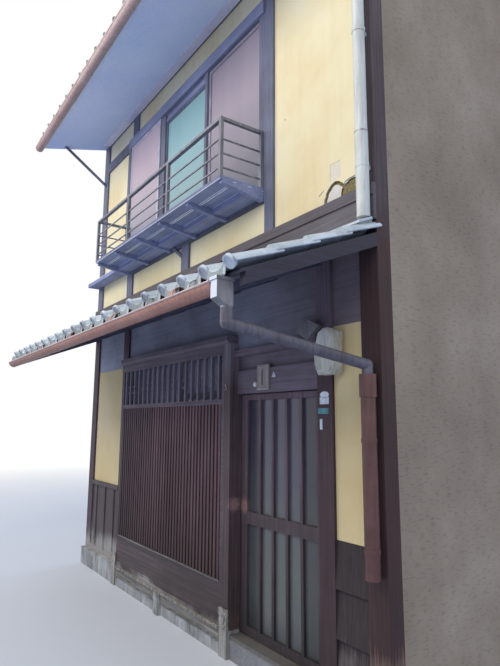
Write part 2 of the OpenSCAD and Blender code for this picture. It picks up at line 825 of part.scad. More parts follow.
// The two short ends of the railing, back to the wall
module railing_returns() {
    y = -balcony_out;
    top = balcony_z + rail_h;
    color("#6a6468") at_front() for (x = [balcony_x0, balcony_x1 - rail_post_w]) {
        block([x, -rail_post_w, balcony_z], [x + rail_post_w, 0, top]);
        block([x, y + 32, top - 22], [x + rail_post_w, -1, top]);
        for (i = [0 : rail_bars - 1]) {
            z = balcony_z + rail_first + i * rail_pitch - rail_bar_w / 2;
            block([x + 5, y + rail_post_w, z], [x + 5 + rail_bar_w, -1, z + rail_bar_w]);
        }
    }
}

module upper_floor() {
    joists = 7;
    joist_w = 105;
    joist_h = 120;
    y0 = front_y + post_d;
    foot = upper_floor_z - floor_t;
    pitch = (2 * -y0 - joist_w) / (joists - 1);
    color("#7d6650") {
        block([-wall_in_x, y0, foot], [wall_in_x, -y0, upper_floor_z]);
        for (i = [0 : joists - 1]) {
            block([-wall_in_x, y0 + i * pitch, foot - joist_h], [wall_in_x, y0 + i * pitch + joist_w, foot + 1]);
        }
    }
}

// Rear wall

module rear_plaster() {
    color("#dcc98c") rear() {
        for (x = [[-bay_x, -rear_out], [rear_out, bay_x]]) {
            plaster_bay(x[0], x[1], left_board_top, girth_foot);
            plaster_block(x[0], x[1], girth_top, plate_foot);
        }
        plaster_block(-rear_bay, rear_bay, rear_lower_head + lintel_h, girth_foot);
        plaster_block(-rear_bay, rear_bay, girth_top, window_sill_foot);
        plaster_block(-rear_bay, rear_bay, lintel_top, plate_foot);
    }
}

module rear_wainscots() {
    color("#5b514b") rear() for (x = [[-bay_x, -rear_out], [-rear_bay, rear_bay], [rear_out, bay_x]]) {
        batten_panel(x[0], x[1], left_board_top, 4);
    }
}

// The two fields of a rear window, as the x of their left and right edges
rear_fields = [[-rear_bay + rear_stile, -rear_stile / 2], [rear_stile / 2, rear_bay - rear_stile]];

module sash_frame(z0, z1, sill) {
    slab_y(0, window_frame_d) difference() {
        translate([-rear_bay, z0]) square([2 * rear_bay, z1 - z0]);
        for (f = rear_fields) {
            translate([f[0], z0 + sill]) square([f[1] - f[0], z1 - z0 - sill - lintel_h]);
        }
    }
}

module rear_window_frames() {
    color("#3c3942") rear() {
        sash_frame(rear_lower_sill, rear_lower_head + lintel_h, rear_sill_h);
        sash_frame(window_sill_foot, lintel_top, sill_h);
    }
}

module sash_panes(z0, z1) {
    for (f = rear_fields) {
        block([f[0], window_frame_d / 2, z0], [f[1], window_frame_d / 2 + glass_t, z1]);
    }
}

module rear_panes() {
    color("#8fa3a6") rear() {
        sash_panes(rear_lower_sill + rear_sill_h, rear_lower_head);
        sash_panes(window_sill_z, window_head_z);
    }
}

// Main roof

module eave_soffits() {
    color("#6f7f96") front_and_rear() run_x(-half_w, half_w) polygon([[0, plate_foot],
        [0, plate_foot + soffit_t], [-eave_out, eave_z - 1], [-eave_out, eave_z - 1 - soffit_t]]);
}

// An inverted V of the given thickness, lifted above the underside of the deck
module roof_band(out, lift, t) {
    eave = front_y - out;
    run_x(-half_w, half_w) polygon([[eave, deck_z(out) + lift], [0, deck_z(front_y) + lift],
        [-eave, deck_z(out) + lift], [-eave, deck_z(out) + lift + t],
        [0, deck_z(front_y) + lift + t], [eave, deck_z(out) + lift + t]]);
}

module roof_deck() {
    color("#6b5a4a") roof_band(eave_out, 0, roof_deck_t);
}

// Tiles of one slope, with rolls that run down it: the section is drawn level, drawn out
// from y1 to y0, with its underside at z1 there, and then sheared to the fall
module tiled_slope(y0, y1, z1, fall, t) {
    pitch = 2 * half_w / tile_rolls;
    half = tile_roll_w / 2;
    roll = [[half, tile_pan_t], [0.72 * half, tile_pan_t + 0.66 * (t - tile_pan_t)], [0.34 * half, t],
        [-0.34 * half, t], [-0.72 * half, tile_pan_t + 0.66 * (t - tile_pan_t)], [-half, tile_pan_t]];
    translate([0, y1, z1]) multmatrix([[1, 0, 0, 0], [0, 1, 0, 0], [0, fall, 1, 0], [0, 0, 0, 1]])
    rotate([90, 0, 0]) linear_extrude(y1 - y0) polygon(concat([[-half_w, tile_pan_t], [-half_w, 0],
        [half_w, 0], [half_w, tile_pan_t]],
        [for (i = [tile_rolls - 1 : -1 : 0], p = roll) [(i + 1) * pitch - half_w - half + p[0] - 1, p[1]]]));
}

// Both slopes, and the flat courses under the ridge
module roof_tiles() {
    color("#9a9da3") {
        for (turn = [0, 180]) rotate([0, 0, turn])
        tiled_slope(front_y - eave_out - roof_tile_out, 0, deck_z(front_y) + roof_deck_t, roof_slope,
            roof_tile_t);
        roof_band(front_y + ridge_w / 2 + 12, roof_deck_t, roof_tile_t);
    }
}

module roof_ridge() {
    foot = deck_z(front_y) + roof_deck_t + roof_tile_t;
    skirt = foot - roof_slope * ridge_w / 2;
    cap_r = ridge_w * 0.34;
    color("#8d9096") run_x(-half_w, half_w) {
        polygon([[-ridge_w / 2, skirt], [0, foot], [ridge_w / 2, skirt],
            [ridge_w / 2, foot + ridge_h - cap_r], [-ridge_w / 2, foot + ridge_h - cap_r]]);
        intersection() {
            translate([0, foot + ridge_h - cap_r]) circle(cap_r);
            translate([-cap_r, foot + ridge_h - cap_r - 1]) square([2 * cap_r, cap_r + 2]);
        }
    }
}

// Half-round gutter with a flat back, seen from its end
module gutter_profile(y, z, r, back_h) {
    translate([-y, z]) difference() {
        circle(r);
        circle(r - gutter_t);
        translate([-r - 1, 0]) square([2 * r + 2, r + 1]);
    }
    translate([-y + r - gutter_t, z - 1]) square([gutter_t, back_h]);
}

module gutters() {
    color("#b5806a") {
        at_front() run_x(-half_w, gutter_end_x) gutter_profile(gutter_y, gutter_lip_z, gutter_r,
            gutter_back_h);
        rear() run_x(-half_w, half_w) gutter_profile(gutter_y, gutter_lip_z, gutter_r, gutter_back_h);
        front_and_rear() run_x(-half_w, half_w)
        gutter_profile(eave_gutter_y, eave_gutter_z, eave_gutter_r, eave_gutter_back_h);
    }
}

// Pent roof

module pent_rafters() {
    pitch = (2 * half_w - rafter_w) / (rafters - 1);
    color("#3b3a44") front_and_rear() for (i = [0 : rafters - 1]) {
        x = -half_w + i * pitch;
        run_x(x, x + rafter_w) polygon([[0, pent_z(0)], [-pent_rafter_out, pent_z(pent_rafter_out)],
            [-pent_rafter_out, pent_z(pent_rafter_out) - rafter_h], [0, pent_z(0) - rafter_h]]);
    }
}

module pent_band(out, lift, t) {
    run_x(-half_w, half_w) polygon([[0, pent_z(0) + lift], [0, pent_z(0) + lift + t],
        [-out, pent_z(out) + lift + t], [-out, pent_z(out) + lift]]);
}

module pent_decks() {
    color("#46454f") front_and_rear() pent_band(pent_deck_end, 0, pent_deck_t);
}

// Tiles of the pent roofs, and the flat course along the wall
module pent_tiles() {
    color("#a9adb2") for (turn = [0, 180]) rotate([0, 0, turn]) at_front() {
        tiled_slope(-pent_tile_end, 0, pent_z(0) + pent_deck_t, pent_slope, pent_tile_t);
        pent_band(head_course_w, pent_deck_t, pent_tile_t);
    }
}

// Rainwater pipes

// A band round a pipe at the height z, with a stem that reaches back to the wall
module pipe_bracket(x, r, y, z) {
    translate([x, y, z]) cylinder(h = bracket_h, r = r + 3);
    block([x - stem_w / 2, y, z], [x + stem_w / 2, 0, z + bracket_h]);
}

// Box of the hopper, straight above its tapering foot
module hopper_box(out, z0, z1) {
    translate([hopper_x - hopper_w / 2 - out, -gutter_y - hopper_d / 2 - out, z0])
    cube([hopper_w + 2 * out, hopper_d + 2 * out, z1 - z0]);
}

module rain_hopper() {
    top = gutter_lip_z + hopper_lift;
    rim_h = 16;
    wall = 4;
    mouth_d = 46;
    head = [hopper_x, outlet_back - gutter_y, hopper_neck];
    elbow = [head[0], head[1], elbow_z];
    outlet = [pipe_x, -lower_pipe_r - pipe_gap, funnel_z + hopper_pipe_r + 20];
    color("#7d7f84") at_front() {
        difference() {
            union() {
                hull() {
                    hopper_box(0, hopper_neck + hopper_taper, top);
                    translate(head) cylinder(h = 2, r = hopper_pipe_r + 3);
                }
                hopper_box(hopper_rim, top - rim_h, top);
            }
            hopper_box(-wall, top - mouth_d, top + 1);
        }
        rod(elbow, head + [0, 0, 4], hopper_pipe_r);
        translate(elbow) sphere(hopper_pipe_r + 1);
        rod(elbow, outlet, hopper_pipe_r);
        translate(outlet) sphere(hopper_pipe_r + 1);
        translate([outlet[0], outlet[1], funnel_z]) cylinder(h = outlet[2] - funnel_z, r = hopper_pipe_r);
    }
}

module downpipes() {
    lower_y = -lower_pipe_r - pipe_gap;
    upper_y = -flashing_t - pipe_gap / 2 - upper_pipe_r;
    upper_foot_z = pent_top_z(flashing_t) + 10;
    outlet = [upper_pipe_x, -eave_gutter_y, eave_gutter_z - eave_gutter_r - upper_pipe_r - 8];
    bend = [upper_pipe_x, upper_y, outlet[2] - bend_h];
    funnel_foot = funnel_z - funnel_h;
    color("#5d4038") at_front() {
        translate([pipe_x, lower_y, lower_pipe_foot])
        cylinder(h = funnel_foot - lower_pipe_foot + 1, r = lower_pipe_r);
        translate([pipe_x, lower_y, funnel_foot]) cylinder(h = funnel_h, r = funnel_r);
        for (share = [0.14, 0.74]) {
            pipe_bracket(pipe_x, lower_pipe_r, lower_y,
                lower_pipe_foot + share * (funnel_foot - lower_pipe_foot));
        }
    }
    color("#8b8d92") at_front() {
        translate([upper_pipe_x, upper_y, upper_foot_z])
        cylinder(h = bend[2] - upper_foot_z, r = upper_pipe_r - 1);
        translate([upper_pipe_x, upper_y, upper_foot_z]) cylinder(h = joint_lift, r = upper_pipe_r + 1);
        translate(bend) sphere(upper_pipe_r + 1);
        rod(bend, outlet, upper_pipe_r);
        translate(outlet) sphere(upper_pipe_r + 1);
        translate(outlet) cylinder(h = upper_pipe_r + 8 - seat_gap, r = upper_pipe_r - 4);
        for (share = [0.16, 0.62]) {
            pipe_bracket(upper_pipe_x, upper_pipe_r, upper_y, upper_foot_z + share * (bend[2] - upper_foot_z));
        }
    }
}

// Fittings

module eave_strut() {
    top_z = plate_foot - (plate_foot - eave_z + 1 + soffit_t) * strut_out / eave_out;
    x = -party_pitch / 2;
    color("#55565e") at_front() difference() {
        rod([x, 30, strut_foot - 30 * (top_z - strut_foot) / strut_out],
            [x, -strut_out - 40, top_z + 40 * (top_z - strut_foot) / strut_out], strut_r);
        block([x - 60, 0, strut_foot - 200], [x + 60, 200, strut_foot + 200]);
        run_x(x - 60, x + 60) polygon([[10, plate_foot], [10, plate_foot + 200],
            [-eave_out, eave_z + 200], [-eave_out, eave_z - 1 - soffit_t]]);
    }
}

// Housing of the meter seen from the street, narrow at its head and foot, drawn in by inset
module meter_outline(inset) {
    x = meter_x + meter_board_w / 2;
    half = meter_w / 2 - inset;
    polygon([for (p = [[-0.6, -12], [0.7, -12], [1, 34], [1, 140], [0.9, 200], [0.72, 240], [0.45, 260],
        [-0.1, 260], [-0.5, 236], [-0.8, 180], [-1, 110], [-0.94, 50]])
        [x + p[0] * half, meter_z + p[1] + (p[1] < 0 ? inset : p[1] > 250 ? -inset : 0)]]);
}

// Meter on its board, and the lozenge-shaped terminal plate at its left
module electric_meter() {
    bevel = 12;
    plate_x = door_right_x - 23;
    plate_z = head_rail_top + 38;
    color("#c9ccc8") at_front() {
        block([meter_x, -20, meter_z], [meter_x + meter_board_w, 0, meter_z + meter_board_h]);
        slab_y(-meter_out + bevel, -19) meter_outline(0);
        slab_y(-meter_out, -meter_out + bevel) meter_outline(bevel);
    }
    color("#7c8086") at_front() slab_y(-48, -head_rail_out - seat_gap) polygon([[plate_x - 122, plate_z + 4],
        [plate_x - 10, plate_z - 66], [plate_x + 92, plate_z + 14], [plate_x + 4, plate_z + 62]]);
}

plinth();
ground_floor();
threshold();
left_party_wall();
right_party_wall();
front_posts();
door_jambs();
rear_posts();
front_wainscots();
lower_plaster();
lattice_frame();
skirt_board();
lattice_lower();
lattice_upper();
inner_screen();
screen_glass();
door_head();
front_door();
door_glass();
frieze_boards();
wall_beams();
flashing_boards();
upper_plaster();
window_frame();
window_panes();
balcony_floor();
balcony_railing();
railing_returns();
upper_floor();
rear_plaster();
rear_wainscots();
rear_window_frames();
rear_panes();
eave_soffits();
roof_deck();
roof_tiles();
roof_ridge();
gutters();
pent_rafters();
pent_decks();
pent_tiles();
rain_hopper();
downpipes();
eave_strut();
electric_meter();
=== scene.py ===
# %% [markdown]
# A machiya townhouse
# The house is one unit of a row: two storeys of dark timber and cream plaster, a pent roof of clay tiles
# over the street front, a fine lattice, a sliding door and a small iron balcony. The solid model comes
# first and stays where it is. Everything that follows gives it finishes and the pieces a solid leaves out.

# %% Load the solid model
import bpy
import bmesh
import math
from mathutils import Matrix, Vector


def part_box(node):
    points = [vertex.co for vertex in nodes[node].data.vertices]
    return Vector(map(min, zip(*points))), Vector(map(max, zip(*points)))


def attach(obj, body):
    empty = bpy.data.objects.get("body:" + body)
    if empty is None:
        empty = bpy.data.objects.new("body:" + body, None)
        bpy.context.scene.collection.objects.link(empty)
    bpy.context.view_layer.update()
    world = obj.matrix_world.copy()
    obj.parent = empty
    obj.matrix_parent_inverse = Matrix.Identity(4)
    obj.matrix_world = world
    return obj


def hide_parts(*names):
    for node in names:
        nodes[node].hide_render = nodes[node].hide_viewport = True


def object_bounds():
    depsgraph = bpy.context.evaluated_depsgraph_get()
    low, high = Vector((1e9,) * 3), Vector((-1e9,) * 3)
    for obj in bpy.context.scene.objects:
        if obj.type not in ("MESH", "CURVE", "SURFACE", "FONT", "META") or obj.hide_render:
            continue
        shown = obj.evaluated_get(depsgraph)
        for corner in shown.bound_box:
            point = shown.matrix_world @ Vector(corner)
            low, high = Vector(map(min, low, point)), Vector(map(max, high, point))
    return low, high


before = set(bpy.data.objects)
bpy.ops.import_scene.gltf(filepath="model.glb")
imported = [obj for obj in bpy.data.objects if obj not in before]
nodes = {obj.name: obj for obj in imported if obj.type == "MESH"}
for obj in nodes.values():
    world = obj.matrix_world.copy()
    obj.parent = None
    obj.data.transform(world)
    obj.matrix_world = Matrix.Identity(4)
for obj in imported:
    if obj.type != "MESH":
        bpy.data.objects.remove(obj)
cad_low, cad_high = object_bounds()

print("solid pieces:", len(nodes), "size in metres:", [round(v, 3) for v in cad_high - cad_low])

# %% [markdown]
# Places that many steps share
# Depths at the front are counted from the street face of the posts. Reading them from the solid model
# keeps each new piece on what carries it.

# %% Shared places
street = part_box("front_posts")[0].y
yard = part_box("rear_posts")[1].y
left_end = cad_low.x
right_end = cad_high.x
house_w = right_end - left_end
plaster_face = 0.020
pent_roof_foot = 2.60
upper_floor_top = 2.90
print("street face at y", round(street, 3), "house width", round(house_w, 3))

# %% [markdown]
# Colour and node helpers
# A hex colour is written for a screen, and a shader wants linear light, so one function turns it. Another
# adds any node with its settings and its links, and a third starts a finish with its plain values.

# %% Colour and node helpers
AMOUNT, FIRST, SECOND = 0, 6, 7
BLEND = {"data_type": "RGBA"}
DARKEN = {"data_type": "RGBA", "blend_type": "MULTIPLY"}


def linear(hex_code):
    """Turns an sRGB hex colour into the linear colour that a shader takes."""
    channels = [int(hex_code[i : i + 2], 16) / 255 for i in (1, 3, 5)]
    curve = [c / 12.92 if c <= 0.04045 else ((c + 0.055) / 1.055) ** 2.4 for c in channels]
    return (*curve, 1.0)


def set_stops(ramp, stops):
    """Gives a ramp its stops, each a position from 0 to 1 and a hex colour or a grey level."""
    ramp.elements.remove(ramp.elements[1])
    for number, (position, tone) in enumerate(stops):
        stop = ramp.elements.new(position) if number else ramp.elements[0]
        stop.position = position
        stop.color = linear(tone) if isinstance(tone, str) else (tone, tone, tone, 1.0)


def add(tree, kind, settings, sockets):
    """Adds a node, sets its properties, and fills its sockets with numbers, hex colours or other nodes."""
    node = tree.nodes.new("ShaderNode" + kind)
    for name, value in settings.items():
        if name == "stops":
            set_stops(node.color_ramp, value)
        else:
            setattr(node, name, value)
    for name, value in sockets.items():
        if isinstance(value, bpy.types.Node):
            value = next(socket for socket in value.outputs if socket.enabled)
        if isinstance(value, bpy.types.NodeSocket):
            tree.links.new(value, node.inputs[name])
        else:
            node.inputs[name].default_value = linear(value) if isinstance(value, str) else value
    return node


def start_finish(name, **plain):
    """Starts a material; returns it, its tree, its shader and the place on the object."""
    finish = bpy.data.materials.new(name)
    finish.use_nodes = True
    tree = finish.node_tree
    shader = tree.nodes["Principled BSDF"]
    for socket, value in plain.items():
        shader.inputs[socket.replace("_", " ")].default_value = value
    place = add(tree, "TexCoord", {}, {}).outputs["Object"]
    return finish, tree, shader, place


def drawn_noise(tree, place, sizes, detail):
    """A noise drawn out to sizes in metres along x, y and z, as fibres, folds and runs of rain are."""
    drawn = add(tree, "Mapping", {}, {"Vector": place, "Scale": tuple(1 / size for size in sizes)})
    return add(tree, "TexNoise", {}, {"Vector": drawn, "Scale": 1.0, "Detail": detail})


def shaded(tree, tone, pattern, stops, share=1.0):
    """Multiplies a tone by the ramp of a pattern."""
    shade = add(tree, "ValToRGB", {"stops": stops}, {"Fac": pattern})
    return add(tree, "Mix", DARKEN, {AMOUNT: share, FIRST: tone, SECOND: shade})


def tinted(tree, place, tone, axis, start, end, tint):
    """Multiplies a tone by a tint that comes in between two places along an axis."""
    along = add(tree, "SeparateXYZ", {}, {"Vector": place}).outputs[axis]
    share = add(tree, "MapRange", {}, {"Value": along, "From Min": start, "From Max": end})
    return add(tree, "Mix", DARKEN, {AMOUNT: share, FIRST: tone, SECOND: tint})


def rubbed(tree, place, tone, spot, radius, bare):
    """Wears a tone away to a bare one round a spot, with a ragged edge."""
    away = add(tree, "VectorMath", {"operation": "DISTANCE"}, {0: place, 1: spot}).outputs["Value"]
    ragged = add(tree, "TexNoise", {}, {"Vector": place, "Scale": 45.0, "Detail": 4.0})
    reach = add(tree, "Math", {"operation": "MULTIPLY_ADD"}, {0: ragged, 1: radius, 2: away})
    outer, inner = radius * 1.5, radius * 0.9
    share = add(tree, "MapRange", {}, {"Value": reach, "From Min": outer, "From Max": inner})
    return add(tree, "Mix", BLEND, {AMOUNT: share, FIRST: tone, SECOND: bare})


def wire(tree, source, shader, socket):
    """Links a node's result to one socket of the shader."""
    output = next(result for result in source.outputs if result.enabled)
    tree.links.new(output, shader.inputs[socket])


# %% [markdown]
# The camera
# The photograph was taken from head height close to the right end of the front, looking along the lane
# and a little up. A lens of 29 mm on a 36 mm sensor gives the same steep perspective.

# %% Camera
photo_height = 666
focal_pixels = 543
sensor = 36.0
camera_place = Vector((4.249, -5.719, 1.60))
turn_left = math.radians(55.26)
look_up = math.radians(9.35)
roll = math.radians(0.38)

lens = bpy.data.cameras.new("street_camera")
lens.sensor_width = sensor
lens.lens = focal_pixels / photo_height * sensor
camera = bpy.data.objects.new("street_camera", lens)
bpy.context.scene.collection.objects.link(camera)
ahead = Vector((-math.sin(turn_left), math.cos(turn_left), 0)) * math.cos(look_up)
ahead += Vector((0, 0, math.sin(look_up)))
right = Vector((math.cos(turn_left), math.sin(turn_left), 0))
above = right.cross(ahead)
tilted_right = right * math.cos(roll) + above * math.sin(roll)
tilted_above = above * math.cos(roll) - right * math.sin(roll)
turn = Matrix((tilted_right, tilted_above, -ahead)).transposed()
camera.matrix_world = Matrix.Translation(camera_place) @ turn.to_4x4()
bpy.context.scene.camera = camera
print("lens", round(lens.lens, 2), "mm")

# %% [markdown]
# Light
# The lane is lit by the strip of sky over it. A long soft lamp high over the street side does the same:
# it reaches the upper wall almost level and falls steeply on the ground floor, so the pent roof shades the
# front below it. A second lamp and an even pale world keep the other sides readable.

# %% Light and view
bpy.context.scene.view_settings.view_transform = "Standard"


def soft_lamp(name, place, aim, length, width, power, tone):
    """A large area lamp at a place, turned to a point, unseen by the camera."""
    light = bpy.data.lights.new(name, "AREA")
    light.shape = "RECTANGLE"
    light.size = length
    light.size_y = width
    light.energy = power
    light.color = linear(tone)[:3]
    lamp = bpy.data.objects.new(name, light)
    bpy.context.scene.collection.objects.link(lamp)
    lamp.location = place
    lamp.rotation_euler = (Vector(aim) - Vector(place)).to_track_quat("-Z", "Y").to_euler()
    lamp.visible_camera = False
    return lamp


def seen_directly(tree):
    """1 for what the camera sees, also by way of gloss or glass, and 0 for what only gives light."""
    rays = add(tree, "LightPath", {}, {})
    seen = rays.outputs["Is Camera Ray"]
    for kind in ("Is Glossy Ray", "Is Transmission Ray"):
        seen = add(tree, "Math", {"operation": "MAXIMUM"}, {0: seen, 1: rays.outputs[kind]})
    return seen


soft_lamp(
    "sky_strip", place=(0.0, -7.6, 5.5), aim=(0.0, -3.5, 3.9), length=13.0, width=2.6, power=305,
    tone="#fffaf0"
)
soft_lamp(
    "yard_sky", place=(0.0, 8.5, 7.5), aim=(0.0, 3.5, 3.5), length=11.0, width=3.5, power=260,
    tone="#fbfcff"
)

world = bpy.data.worlds.new("pale_sky")
world.use_nodes = True
bpy.context.scene.world = world
sky = world.node_tree
sky_light = sky.nodes["Background"]
sky_light.inputs["Color"].default_value = linear("#d0defc")
sky_light.inputs["Strength"].default_value = 0.85
print("lamps over the street and the yard, and a pale world")
seen_sky = add(sky, "Background", {}, {"Color": "#ffffff", "Strength": 1.0})
sky_mix = add(sky, "MixShader", {}, {0: seen_directly(sky), 1: sky_light, 2: seen_sky})
sky.links.new(sky_mix.outputs[0], sky.nodes["World Output"].inputs["Surface"])

# %% [markdown]
# The floor
# A plain pale floor takes the shadow of the house and fades into the pale world further out.

# %% Floor
floor_size = 120.0
haze_start = 6.0
haze_end = 16.0
bpy.ops.object.select_all(action="DESELECT")
bpy.ops.mesh.primitive_plane_add(size=floor_size, location=(0, 0, 0))
floor = bpy.context.active_object
floor.name = "studio_floor"
floor_finish, tree, shader, place = start_finish("matt_studio_floor", Roughness=0.95)
seen = seen_directly(tree)
floor_tone = add(tree, "Mix", BLEND, {AMOUNT: seen, FIRST: "#c6d2ea", SECOND: "#dfe0e0"})
wire(tree, floor_tone, shader, "Base Color")
away = add(tree, "VectorMath", {"operation": "LENGTH"}, {0: place}).outputs["Value"]
haze = add(tree, "MapRange", {}, {"Value": away, "From Min": haze_start, "From Max": haze_end})
haze = add(tree, "Math", {"operation": "MULTIPLY"}, {0: haze, 1: seen})
white = add(tree, "Emission", {}, {"Color": "#ffffff", "Strength": 1.0})
faded = add(tree, "MixShader", {}, {0: haze, 1: shader, 2: white})
tree.links.new(faded.outputs[0], tree.nodes["Material Output"].inputs["Surface"])
floor.data.materials.append(floor_finish)
print("floor of", floor_size, "m")

# %% [markdown]
# Old timber
# The frame is sawn cedar and cypress, stained dark and weathered for decades. Under the open sky it has
# faded to blue-grey, and under the pent roof it is still a deep brown. Grain is a noise drawn out along
# the board, drawn two or three times as coarse as real fibres so that it shows from across the lane. Near
# the ground, rain has splashed the stain away, which a height and a noise together decide.

# %% How a timber finish is built up
fibre_w = 0.014
fibre_l = 0.55
splash_foot = 0.12
splash_drift = 0.9
splash_fibres = 0.5
bare_wood = "#a8a298"
foot_touch = 0.002


def timber(
    name, along, tones, upper_tones=(), splash=0.0, board=0.0, board_axis="X", tints=(), worn=(), edges=()
):
    """Sawn and weathered timber with its grain along one axis, and with other tones upstairs if given."""
    finish, tree, shader, place = start_finish(name, Roughness=0.72)
    sizes = [fibre_l if axis == along else fibre_w for axis in "XYZ"]
    fibres = drawn_noise(tree, place, sizes, detail=5.0)
    patches = add(tree, "TexNoise", {}, {"Vector": place, "Scale": 2.4, "Detail": 4.0, "Roughness": 0.6})
    parts = add(tree, "SeparateXYZ", {}, {"Vector": place})
    height = parts.outputs["Z"]
    tone = add(tree, "ValToRGB", {"stops": [(0.30, tones[0]), (0.70, tones[1])]}, {"Fac": fibres})
    if upper_tones:
        upper_stops = [(0.30, upper_tones[0]), (0.70, upper_tones[1])]
        upper = add(tree, "ValToRGB", {"stops": upper_stops}, {"Fac": fibres})
        reach = {"Value": height, "From Min": pent_roof_foot, "From Max": upper_floor_top}
        storey = add(tree, "MapRange", {}, reach)
        tone = add(tree, "Mix", BLEND, {AMOUNT: storey, FIRST: tone, SECOND: upper})
    tone = shaded(tree, tone, patches, [(0.35, 0.72), (0.62, 1.0)])
    if board:
        step = add(tree, "Math", {"operation": "DIVIDE"}, {0: parts.outputs[board_axis], 1: board})
        step = add(tree, "Math", {"operation": "FLOOR"}, {0: step})
        chance = add(tree, "TexWhiteNoise", {"noise_dimensions": "1D"}, {"W": step})
        tone = shaded(tree, tone, chance, [(0.0, 0.70), (1.0, 1.0)])
    if splash:
        rain = add(tree, "MapRange", {}, {"Value": height, "From Min": splash, "From Max": splash_foot})
        spread = {0: patches, 1: splash_drift, 2: -splash_drift / 2}
        drift = add(tree, "Math", {"operation": "MULTIPLY_ADD"}, spread)
        drift = add(tree, "Math", {"operation": "ADD"}, {0: rain, 1: drift})
        edge = add(tree, "Math", {"operation": "MULTIPLY_ADD"}, {0: fibres, 1: splash_fibres, 2: drift})
        bare = add(tree, "ValToRGB", {"stops": [(0.72, 0.0), (0.95, 0.85)]}, {"Fac": edge})
        tone = add(tree, "Mix", BLEND, {AMOUNT: bare, FIRST: tone, SECOND: bare_wood})
    for tint in tints:
        tone = tinted(tree, place, tone, *tint)
    if worn:
        tone = rubbed(tree, place, tone, *worn)
    # Painted light: pale lines on the underside along the plank edges stand for the sky seen through the
    # gaps.
    if edges:
        board_edge, pitch, width, pale = edges
        beside = add(tree, "Math", {"operation": "SUBTRACT"}, {0: parts.outputs["Y"], 1: board_edge})
        beside = add(tree, "Math", {"operation": "PINGPONG"}, {0: beside, 1: pitch / 2})
        rim = add(tree, "Math", {"operation": "LESS_THAN"}, {0: beside, 1: width})
        foot = add(tree, "Math", {"operation": "COMPARE"}, {0: height, 1: plank_foot, 2: foot_touch})
        rim = add(tree, "Math", {"operation": "MULTIPLY"}, {0: rim, 1: foot})
        tone = add(tree, "Mix", BLEND, {AMOUNT: rim, FIRST: tone, SECOND: pale})
    wire(tree, tone, shader, "Base Color")
    relief = add(tree, "Bump", {}, {"Height": fibres, "Strength": 0.35, "Distance": 0.003})
    wire(tree, relief, shader, "Normal")
    return finish


# %% Timber finishes
lower_brown = ("#3e3038", "#5c4c54")
upper_grey = ("#57586b", "#7a7c8e")
plank_edge_y = street - 0.252
plank_pitch = 0.129
plank_foot = 3.275
post_timber = timber(
    "weathered_cedar_posts", "Z", lower_brown, upper_grey, splash=0.75,
    tints=[("X", 1.9, 2.0, "#c8a898")]
)
beam_timber = timber(
    "weathered_cedar_beams", "X", lower_brown, upper_grey, tints=[("Z", 2.9, 2.6, "#b0a0a0")]
)
window_timber = timber("weathered_window_posts", "Z", upper_grey, tints=[("Z", 4.6, 3.1, "#d2cfcc")])
lintel_timber = timber("pale_weathered_lintel", "X", ("#747998", "#9498b2"))
flashing_timber = timber(
    "worn_flashing_boards", "X", ("#554e54", "#706a6e"), tints=[("X", 1.9, 1.0, "#a0969c")]
)
flashing_cap_timber = timber("dusty_flashing_cap", "X", ("#4c454a", "#655d61"))
# The balcony planks carry painted light: pale lines underneath along their edges, for the sky seen through
# the gaps.
balcony_timber = timber(
    "weathered_balcony_planks_with_painted_gap_light", "X", ("#757da0", "#949cc0"),
    tints=[("Y", -3.862, -3.866, "#e4dfd8")], edges=(plank_edge_y, plank_pitch, 0.013, "#f2f4fc")
)
# Under the pent roof the rafters and boards are a lighter blue-grey than the dark timber elsewhere: partly
# the old wood, partly painted haze light in that shade.
rafter_timber = timber(
    "cedar_rafters_with_painted_haze", "Y", ("#4b4a58", "#68687a"), tints=[("X", 2.0, 2.25, "#9a949c")]
)
deck_timber = timber(
    "cedar_roof_boards_with_painted_haze", "X", ("#585c6c", "#7c8090"), board=0.15, board_axis="Y",
    tints=[("X", 2.0, 2.25, "#8f8990")]
)
# Painted haze: the frieze lies in the shade of the pent roof, and its light grey, lightest to the left,
# stands in for hazy light there.
hazy_frieze_timber = timber(
    "cedar_frieze_with_painted_haze", "X", ("#a39fa7", "#b6b3bb"),
    tints=[("X", -1.4, -0.2, "#e0e0e0"), ("X", 1.0, 1.9, "#d6c1bc")]
)
jamb_timber = timber(
    "brown_stained_cypress_uprights", "Z", ("#75686d", "#a3989b"), splash=0.45,
    tints=[("Z", 2.15, 1.85, "#ab9795"), ("Z", 1.3, 0.3, "#c6c1bc"), ("X", 1.70, 1.78, "#cdbec8")],
    worn=((0.872, street, 1.02), 0.06, "#93736b")
)
leaf_timber = timber(
    "brown_stained_cypress_door", "Z", ("#55454b", "#7e686d"),
    tints=[("Z", 1.75, 0.25, "#90958f")], worn=((0.90, street + 0.06, 1.01), 0.07, "#8a6a62")
)
upper_lattice_timber = timber("dusty_lattice_bars", "Z", ("#74686f", "#938890"))
rail_timber = timber("brown_stained_cypress_rails", "X", ("#685961", "#85767c"))
lattice_rail_timber = timber(
    "red_brown_lattice_rails", "X", ("#5f5158", "#807076"), tints=[("Z", 1.7, 0.5, "#a8a6a4")]
)
lattice_timber = timber(
    "red_brown_lattice_bars", "Z", ("#5e4147", "#936f71"), board=0.0509,
    tints=[("X", 0.2, -1.2, "#c9cdd8"), ("Z", 1.7, 0.5, "#a3a49f")]
)
board_timber = timber(
    "rain_bleached_cedar_boards", "Z", ("#403739", "#675b5a"), splash=0.62,
    tints=[("X", 0.0, 1.9, "#9c9293")]
)
skirt_timber = timber(
    "rain_bleached_skirt_board", "X", ("#443a39", "#605251"), splash=0.32,
    tints=[("X", -0.2, 0.8, "#d6cdcd")]
)
floor_timber = timber("planed_pine_boards", "X", ("#8f7556", "#b39a77"), board=0.18, board_axis="Y")
